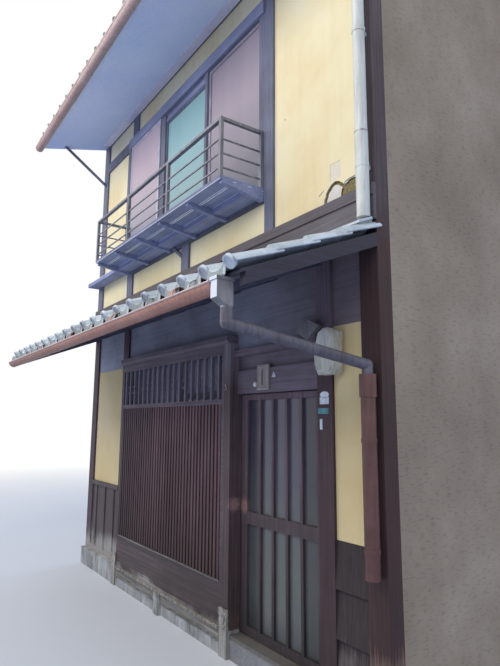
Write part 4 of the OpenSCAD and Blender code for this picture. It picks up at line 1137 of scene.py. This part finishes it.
def gutter_straps(name, finish, width, gutter, radius, arm_h, first_x, last_x, count):
    """Straps round a gutter, given by how far its centre stands out and its height; arms are for hooks."""
    out, lip_z = gutter
    centre = Vector((first_x, street - out, lip_z))
    reach = radius + strap_t
    nothing()
    bpy.ops.mesh.primitive_plane_add(size=1.0, location=centre - Vector((0, reach, 0)))
    strap = bpy.context.active_object
    strap.scale = (width, strap_t, 1)
    settle(strap)
    edit(strap, ALL)
    bpy.ops.mesh.spin(steps=strap_steps, angle=math.pi, center=centre, axis=(1, 0, 0))
    if arm_h:
        for end_y, arm in ((centre.y + reach, (0, 0, arm_h)), (centre.y - reach, (0, 0.004, 0.008))):
            pick("FACE", lambda middle, way: abs(middle.y - end_y) < strap_t / 2 and abs(way.z) > facing)
            extrude(arm)
    weld(gap=0.0001)
    repeat(strap, count, ((last_x - first_x) / (count - 1), 0, 0))
    hand_over(front_and_rear(name, strap), finish, "copper")


gutter_straps(
    "pent_gutter_hooks", steel_finish, hook_w, pent_gutter, radius=0.051, arm_h=0.030,
    first_x=-2.08, last_x=1.93, count=9
)
gutter_straps(
    "eave_gutter_hooks", steel_finish, hook_w, eave_gutter, radius=0.046, arm_h=0.040,
    first_x=-2.05, last_x=2.05, count=9
)
gutter_straps(
    "pent_gutter_joints", gutter_finish, joint_w, pent_gutter, radius=0.050, arm_h=0.0,
    first_x=-0.912, last_x=1.734, count=4
)
collar_place = (2.24, street - 0.061, 3.242)
upright = (0, 0, 0)
collar = tube("upper_pipe_collar", 0.0385, 0.011, collar_place, upright, sides=28, ends="NOTHING")
modify(collar, "SOLIDIFY", thickness=0.0022, offset=-1)
hand_over(collar, steel_finish, "brown_pipe")

# %% [markdown]
# Window sashes
# Each field of the upper window holds a sliding sash: a thin metal frame, paler than the timber, round
# its pane. A sheet is inset, its middle is taken out, and a Solidify modifier gives the frame its depth.
# The left sash slides outside the wall on a runner of its own, and the middle one hangs from a deeper
# track with two pale lines. Old timber boards cover the joints beside them. The rear windows have two
# sashes each, side by side.


# %% Sashes and track
def sash(name, across, up, back, frame_w, frame_t):
    """A flat frame that stands in a window field with its back against a face."""
    nothing()
    middle = (sum(across) / 2, back - frame_t / 2, sum(up) / 2)
    bpy.ops.mesh.primitive_plane_add(size=1.0, location=middle, rotation=along_y)
    piece = bpy.context.active_object
    piece.name = name
    piece.scale = (across[1] - across[0], up[1] - up[0], 1)
    settle(piece)
    edit(piece, ALL)
    bpy.ops.mesh.inset(thickness=frame_w)
    bpy.ops.mesh.delete(type="FACE")
    modify(piece, "SOLIDIFY", thickness=frame_t, offset=0.0)
    modify(piece, "BEVEL", width=0.002, segments=1, limit_method="ANGLE")
    return piece


sash_t = 0.012
sash_finish = coated("dull_anodised_window_sash", "#a3a2b0", "#bdbcca", "#dcdae0", 0.45, metal=0.3)
right_sash_finish = coated("dusty_anodised_window_sash", "#97919e", "#aea8b4", "#d4d0d6", 0.45, metal=0.3)
pane_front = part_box("window_panes")[0].y
sill_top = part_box("window_panes")[0].z
lintel_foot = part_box("window_panes")[1].z
track_foot = lintel_foot - 0.085
middle_field = (-0.50, 0.31)
sashes = {
    "left": ((-1.22, -0.60), lintel_foot, 0.030, sash_finish),
    "middle": (middle_field, track_foot, 0.018, window_timber),
    "right": ((0.35, 1.15), lintel_foot, 0.030, right_sash_finish),
}
for field, (across, top, frame_w, finish) in sashes.items():
    piece = sash("window_sash_" + field, across, (sill_top, top), pane_front, frame_w, sash_t)
    hand_over(piece, finish, "dark_timber")
track = board("window_track", middle_field, (track_foot, lintel_foot), pane_front, thick=0.022, bevel=0.002)
pick_front(track)
for groove in (0.006, -0.006, 0.006):
    sink(rim=0.010, way=(0, groove, 0))
hand_over(track, lintel_timber, "dark_timber")

# %% Outer sash with its pane, rear sashes, stop and lintel board
outer_x = (-1.36, -0.60)
outer_z = (3.302, 4.732)
pane_in = 0.03
pane_t = 0.004
outer_sash = sash("outer_sash", outer_x, outer_z, street, frame_w=0.034, frame_t=sash_t)
hand_over(outer_sash, sash_finish, "dark_timber")
pane_x = (outer_x[0] + pane_in, outer_x[1] - pane_in)
pane_z = (outer_z[0] + pane_in, outer_z[1] - pane_in)
outer_pane = board("outer_sash_pane", pane_x, pane_z, street - pane_t, pane_t)
pick_front(outer_pane)
sink(rim=0.006, way=(0, 0.001, 0))
hand_over(outer_pane, curtain_finish, "curtained_glass")

rear_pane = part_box("rear_panes")[1]
stile = 0.025
rear_heights = {"lower": (0.994, 1.894), "upper": (sill_top, lintel_foot)}
for storey, up in rear_heights.items():
    halves = [
        sash("rear_sash", across, up, rear_pane.y + sash_t, frame_w=0.026, frame_t=sash_t)
        for across in ((-rear_pane.x, -stile), (stile, rear_pane.x))
    ]
    hand_over(join("rear_window_sashes_" + storey, *halves), sash_finish, "dark_timber")

stop_left = -1.44
stop = board("outer_sash_stop", (stop_left, -1.362), (outer_z[0], 4.80), street, thick=0.016, bevel=0.003)
hand_over(stop, window_timber, "dark_timber")
lintel_z = (lintel_foot + 0.006, lintel_foot + 0.118)
lintel_board = board("lintel_board", (stop_left, 1.22), lintel_z, street, thick=0.018, bevel=0.003)
hand_over(lintel_board, lintel_timber, "dark_timber")

# %% [markdown]
# Broken plaster
# By the foot of the right upper panel a shell of plaster has come away. An old repair fills its middle, and
# a band of brown earth shows round it, widest beside the pipe. Above it is a square patch of newer lime,
# and a small chip further left. Cutters with torn outlines are taken out of a merged copy of the solid
# plaster. The finish already turns to patch and earth with depth.

# %% Cut the broken plaster
plaster = duplicate(nodes["upper_plaster"])
plaster.name = "broken_upper_plaster"
plaster.parent = None
for key in list(plaster.keys()):
    del plaster[key]
edit(plaster)
weld(gap=0.0001)
only(plaster)

plaster_y = street + plaster_face
before_face = plaster_y - 0.01


def torn_cutter(x, z, half_w, half_h, depth, spread, seed, lean=0.0, band=0.0, corners=36):
    """A flat round of torn outline on the plaster face, or a band of it, drawn in to a depth."""
    nothing()
    place = (x, before_face, z)
    bpy.ops.mesh.primitive_circle_add(
        vertices=corners, radius=1.0, fill_type="NGON", location=place, rotation=(math.pi / 2, lean, 0)
    )
    piece = bpy.context.active_object
    piece.scale = (half_w, half_h, 1)
    settle(piece)
    edit(piece, ALL)
    bpy.ops.transform.vertex_random(offset=spread, seed=seed)
    bpy.ops.transform.resize(value=(1, 0, 1), center_override=place)
    if band:
        bpy.ops.mesh.select_all(action=ALL)
        bpy.ops.mesh.inset(thickness=band)
        bpy.ops.mesh.delete(type="FACE")
        bpy.ops.mesh.select_all(action=ALL)
    extrude((0, plaster_y + depth - before_face, 0))
    bpy.ops.mesh.select_all(action=ALL)
    bpy.ops.mesh.normals_make_consistent(inside=False)
    only(piece)
    return piece


coat_depth = 0.006
earth_depth = 0.016
shell = (1.935, 2.945)
shell_half = (0.104, 0.134)
band_half = (0.105, 0.135)
by_pipe = (2.078, 2.962)
patch_depth = 0.0025
patch_x = (1.893, 1.987)
patch_z = (3.092, 3.206)
patch_back = plaster_y + patch_depth
cuts = [
    board("repair", patch_x, patch_z, patch_back, thick=patch_back - before_face),
    torn_cutter(*shell, *shell_half, coat_depth, spread=0.006, seed=3),
    torn_cutter(*by_pipe, 0.110, 0.098, coat_depth, spread=0.006, seed=5),
    torn_cutter(*shell, *band_half, earth_depth, spread=0.006, seed=3, band=0.022),
    torn_cutter(*by_pipe, 0.103, 0.092, earth_depth, spread=0.009, seed=8, corners=30),
    torn_cutter(1.812, 3.046, 0.032, 0.0045, depth=0.011, spread=0.002, seed=2, lean=-0.5, corners=14),
    torn_cutter(1.442, 3.735, 0.006, 0.007, coat_depth, spread=0.002, seed=6, corners=9),
]
for tool in cuts:
    modify(plaster, "BOOLEAN", operation="DIFFERENCE", solver="EXACT", object=tool)
    bpy.data.objects.remove(tool)
hand_over(plaster, cream, "yellow_plaster", "upper_plaster")

# %% [markdown]
# Small things over the door
# On the board over the door hangs an old wooden name plate, left blank, with a slot for letters in it, a
# round bell push beside it and a small paper triangle. Four blank paper labels are pasted on the post at
# its right. Each is a thin block or disc with eased edges, inset where it has a rim.

# %% Plate, bell push and triangle
paper = coated("pale_pasted_paper", "#d5d6d8", "#eceded", "#d6d3cc", 0.8)
aqua_paper = coated("faded_aqua_paper", "#5c8f92", "#76a4a5", "#a8c8c8", 0.8)
plate_finish = timber("sun_bleached_name_plate", "Z", ("#a09086", "#c6b6a8"))
ivory = coated("ivory_moulded_bell_push", "#d8d5cc", "#ebe8df", "#d2cdc2", 0.35)
head_face = street + 0.015
plate_t = 0.014
plate_sunk = 0.003
plate_floor = head_face - plate_t + plate_sunk
plate_x = (1.134, 1.270)
plate_z = (1.822, 2.000)
plate = board("blank_name_plate", plate_x, plate_z, head_face, plate_t, bevel=0.003)
pick_front(plate)
sink(rim=0.014, way=(0, plate_sunk, 0))
hand_over(plate, plate_finish, "brown_timber")
slot_x = (1.182, 1.222)
slot_z = (1.850, 1.972)
slot_frame = sash("letter_slot_rim", slot_x, slot_z, plate_floor, frame_w=0.008, frame_t=0.006)
hand_over(slot_frame, plate_finish, "brown_timber")
slot_dark = board("letter_slot_mouth", (1.190, 1.214), (1.858, 1.964), head_face - 0.0105, thick=0.0025)
hand_over(slot_dark, rail_timber, "brown_timber")
push_t = 0.016
push_place = (1.112, head_face - push_t / 2, 1.865)
push = tube("bell_push", radius=0.018, depth=push_t, place=push_place, turn=along_y)
pick_front(push)
sink(rim=0.006, way=(0, -0.005, 0))
modify(push, "BEVEL", width=0.0015, segments=2, limit_method="ANGLE")
hand_over(push, ivory, "meter_case")
paper_t = 0.002
triangle_place = (1.314, head_face - paper_t / 2, 1.918)
point_down = (math.pi / 2, 0, math.pi)
triangle = tube("paper_triangle", 0.027, paper_t, triangle_place, point_down, sides=3)
hand_over(triangle, paper, "meter_case")

# %% Labels on the post
post_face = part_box("door_jambs")[0].y + 0.046
flat_oval = (1, 1, 0.5)
oval_place = (1.832, post_face - paper_t / 2, 1.766)
round_label = tube("label_round", 0.038, paper_t, oval_place, along_y, sides=28)
edit(round_label, ALL)
bpy.ops.transform.resize(value=flat_oval)
hand_over(round_label, paper, "meter_case")
labels = {
    "label_square": (1.830, 1.731, 0.078, 0.042, paper),
    "label_aqua": (1.820, 1.670, 0.092, 0.034, aqua_paper),
    "label_small": (1.800, 1.592, 0.022, 0.062, paper),
}
for name, (x, z, width, height, finish) in labels.items():
    across = (x - width / 2, x + width / 2)
    up = (z - height / 2, z + height / 2)
    hand_over(board(name, across, up, post_face, paper_t, bevel=0.0008), finish, "meter_case")

# %% [markdown]
# The foot of the front
# Splashing rain has eaten the lowest timber. A thin sill strip under the skirt board has lost its edge, the
# sill of the lattice is worn along its top, the two posts beside the lattice stand on whitened shoes that
# reach the ground, and one block props the sill. Each is a block cut into many faces whose points are then
# moved a little at random with a fixed seed, which gives the ragged, split look of rotten wood.

# %% Sill strips, post shoes and prop
rotten = timber("rotten_whitened_timber", "X", ("#565149", "#a39d92"))
rotten_foot = timber("rotten_whitened_post_feet", "Z", ("#6d665c", "#c2bbae"))


def eat_away(piece, cuts, spread, seed, rough_side):
    """Cuts a block into many faces and moves the points of one side at random."""
    edit(piece, ALL)
    bpy.ops.mesh.subdivide(number_cuts=cuts)
    pick("VERT", rough_side)
    bpy.ops.transform.vertex_random(offset=spread, uniform=0.2, seed=seed)


base_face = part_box("plinth")[0].y
sill_left = -1.19
sill_x = (sill_left, 0.76)
sill = board("eaten_sill_strip", sill_x, (0.092, 0.182), base_face, thick=0.010)
eat_away(sill, 40, spread=0.005, seed=4, rough_side=lambda point, way: point.z < 0.12)
hand_over(sill, rotten, "weathered_board")
lip = board("eaten_sill_lip", sill_x, (0.172, 0.184), base_face - 0.004, thick=0.016)
eat_away(lip, 60, spread=0.007, seed=9, rough_side=lambda point, way: point.y < base_face - 0.01)
hand_over(lip, rotten_foot, "weathered_board")
worn_z = (0.474, 0.484)
worn_edge = board("worn_lattice_sill_edge", (sill_left, 0.746), worn_z, base_face + 0.006, thick=0.010)
eat_away(worn_edge, 60, spread=0.003, seed=13, rough_side=lambda point, way: point.z > 0.480)
hand_over(worn_edge, rotten, "brown_timber")
shoes = {
    "post_shoe_left": ((-1.302, -1.205), 0.30, 0.010, 2),
    "post_shoe_right": ((0.772, 0.868), 0.315, 0.012, 5),
}
for name, (across, top, spread, seed) in shoes.items():
    shoe = board(name, across, (0.0, top), base_face, thick=0.014)
    eat_away(shoe, 10, spread, seed, rough_side=lambda point, way: point.z > 0.2)
    hand_over(shoe, rotten_foot, "weathered_board")
prop = board("sill_prop", (-0.262, -0.180), (0.0, 0.172), base_face, thick=0.030)
eat_away(prop, 6, spread=0.006, seed=7, rough_side=lambda point, way: True)
modify(prop, "BEVEL", width=0.004, segments=2, limit_method="ANGLE")
hand_over(prop, cement_finish, "weathered_board")

# %% [markdown]
# Fittings of the door and the meter
# The leaf has a shallow round pull let into its closing stile, and an iron hook hangs on the post at its
# other side. The meter's case has ribs under its window. The pull is a disc inset twice and pushed in, the
# hook is a small ring cut open, and one rib is repeated by an array.

# %% Pull and hook
dark_bronze = coated("dark_bronze_pull", "#3d3631", "#55493f", "#9a8f84", 0.4, metal=0.8)
leaf_low, leaf_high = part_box("front_door")
pull_place = (leaf_high.x - 0.038, leaf_low.y - 0.001, 0.99)
pull = tube("door_pull", radius=0.024, depth=0.006, place=pull_place, turn=along_y, sides=28)
pick_front(pull)
sink(rim=0.003, way=(0, 0.004, 0))
bpy.ops.mesh.inset(thickness=0.004)
hand_over(pull, dark_bronze, "brown_timber", body="door")

hook_place = (0.806, base_face - 0.005, 1.850)
hook_opening = (-0.7, 0, 0.7)
nothing()
bpy.ops.mesh.primitive_torus_add(
    location=hook_place, rotation=along_y, major_segments=28, minor_segments=8, major_radius=0.014,
    minor_radius=0.003
)
ring = bpy.context.active_object
settle(ring)
trim(ring, hook_place, hook_opening, clear_outer=True, use_fill=True)
staple = board("staple", (0.802, 0.810), (1.860, 1.884), base_face, thick=0.006, bevel=0.002)
latch = join("post_hook", ring, staple)
hand_over(latch, steel_finish, "railing_iron")

# %% Ribs of the meter
meter_low, meter_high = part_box("electric_meter")
rib_bevel = 0.001
ribs = board("meter_front_ribs", (1.862, 1.866), (1.905, 1.985), meter_low.y + 0.002, 0.005, rib_bevel)
repeat(ribs, count=5, step=(0.010, 0, 0))
hand_over(ribs, meter_finish, "meter_case")
side_low = (meter_high.x - 0.004, meter_low.y + 0.014, 1.930)
side_high = (meter_high.x + 0.002, meter_low.y + 0.018, 2.060)
side_ribs = block("meter_side_ribs", side_low, side_high, rib_bevel)
repeat(side_ribs, count=6, step=(0, 0.011, 0))
hand_over(side_ribs, meter_finish, "meter_case")

# %% [markdown]
# Edges of the gutters and the head of the pent roof
# A gutter's front edge is rolled into a bead that shows as a thin pale line from below. It is a slim tube
# cut open along its back, as rolled sheet is. Along the wall, a course of flat tiles laid in mortar closes
# the top of the pent roof. One flat tile is tilted to the slope and repeated.

# %% Gutter beads
# The bead's pale tone is partly bleached coating and partly a painted highlight along the lip.
bead_finish = coated("bleached_gutter_edge_with_painted_highlight", "#c9aea6", "#ddc8c0", "#e6dedb", 0.5)
bead_r = 0.006
bead_cut = bead_r * 0.6
sheet_t = 0.0012
pent_lip = (0.981, 2.247)
eave_lip = (0.871, 4.873)


def gutter_bead(name, lip, x0, x1):
    """The rolled edge of a gutter along the front, given by how far it stands out and its height."""
    y, z = street - lip[0], lip[1]
    bead = tube(name, bead_r, x1 - x0, ((x0 + x1) / 2, y, z), along_x, 14, "NOTHING")
    trim(bead, (0, y + bead_cut, z), (0, 1, 0), clear_outer=True)
    modify(bead, "SOLIDIFY", thickness=sheet_t, offset=-1.0)
    smooth(bead, degrees=40)
    return bead


pent_bead = gutter_bead("pent_gutter_bead", pent_lip, left_end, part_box("rain_hopper")[0].x)
hand_over(pent_bead, bead_finish, "copper")
rear_bead = turn_to_rear(gutter_bead("rear_pent_bead", pent_lip, left_end, right_end))
hand_over(rear_bead, bead_finish, "copper")
eave_bead = gutter_bead("eave_gutter_bead", eave_lip, left_end, right_end)
hand_over(front_and_rear("eave_gutter_beads", eave_bead), bead_finish, "copper")

# %% Head course of the pent roof and its mortar
head_t = 0.008
head_depth = 0.062
head_gap = 0.004
edge_lean = 0.004
from_wall = 0.020 + head_depth
head_y = street - from_wall
head_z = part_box("pent_tiles")[1].z - pent_rise * from_wall + 0.010
flat_low = (-tile_pitch / 2 + joint_gap, -head_depth, -head_t)
flat_high = (tile_pitch / 2 - joint_gap, head_depth - head_gap, head_t)
flat = block("head_tile", flat_low, flat_high, bevel=0.003)
edit(flat)
pick("EDGE", lambda middle, way: middle.y < touch - head_depth and middle.z > 0)
bpy.ops.transform.translate(value=(0, edge_lean, 0))
flat.rotation_euler = (pent_slope, 0, 0)
flat.location = (left_end + tile_pitch / 2, head_y, head_z)
settle(flat)
repeat(flat, tiles_across, (tile_pitch, 0, 0))
hand_over(front_and_rear("pent_head_tiles", flat), tile_finish, "roof_tile")

mortar_in = 0.012
mortar_half = head_depth - 0.006
mortar_low = (left_end + mortar_in, -mortar_half, -0.055)
mortar = block("mortar", mortar_low, (right_end - mortar_in, mortar_half, -0.006))
mortar.rotation_euler = (pent_slope, 0, 0)
mortar.location = (0, head_y, head_z)
settle(mortar)
edit(mortar, ALL)
bpy.ops.mesh.subdivide(number_cuts=30)
pick("VERT", lambda point, way: way.y < -0.3)
bpy.ops.transform.vertex_random(offset=0.003, seed=11)
only(mortar)
hand_over(front_and_rear("pent_head_mortar", mortar), cement_finish, "roof_tile")

# %% [markdown]
# Edge boards and brace
# A flat board covers the joint of wall and soffit, a weathered cap runs along the flashing board, and a
# short brace carries the ledge beside the middle post. All are sawn pieces with eased edges.

# %% Edge board under the soffit, front and rear
soffit_wall_z = 5.100
soffit_rise = 0.2733
edge_w = 0.100
edge_t = 0.008
edge_half = 2.13
edge_board = block("soffit_edge_board", (-edge_half, -edge_w, -edge_t), (edge_half, 0.0, 0.0), bevel=0.002)
edge_board.rotation_euler = (math.atan(soffit_rise), 0, 0)
edge_board.location = (0, street, soffit_wall_z)
settle(edge_board)
hand_over(edge_board, soffit_edge_finish, "soffit_board")
rear_edge_board = turn_to_rear(duplicate(edge_board))
rear_edge_board.name = "rear_soffit_edge_board"
hand_over(rear_edge_board, soffit_edge_finish, "soffit_board")

# %% Cap of the flashing board and brace under the ledge
cap_end = 0.002
cap_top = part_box("flashing_boards")[1].z
cap_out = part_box("flashing_boards")[0].y
cap_low = (left_end + cap_end, cap_out - 0.010, cap_top - 0.072)
cap_high = (right_end - cap_end, cap_out + 0.004, cap_top + 0.002)
cap_board = block("flashing_cap", cap_low, cap_high, bevel=0.003)
edit(cap_board)
pick("EDGE", lambda middle, way: middle.y < cap_out - 0.008 and middle.z > cap_top - 0.002)
bpy.ops.transform.translate(value=(0, 0, -0.004))
hand_over(front_and_rear("flashing_cap", cap_board), flashing_cap_timber, "dark_timber")

brace_y = street + 0.004
brace_top = Vector((-0.235, brace_y, 3.226))
brace_foot = Vector((-0.050, brace_y, 3.090))
span = brace_foot - brace_top
brace_half = Vector((span.length / 2, 0.012, 0.014))
brace = block("ledge_brace", -brace_half, brace_half, bevel=0.003)
brace.rotation_euler = (0, math.atan2(-span.z, span.x), 0)
brace.location = (brace_top + brace_foot) / 2
settle(brace)
edit(brace)
pick(
    "FACE",
    lambda middle, way: abs(way.x) > 0.5 and abs(way.y) < 0.1 and abs(middle.x - brace_foot.x) < 0.02
)
bpy.ops.mesh.inset(thickness=0.003)
hand_over(brace, beam_timber, "dark_timber")
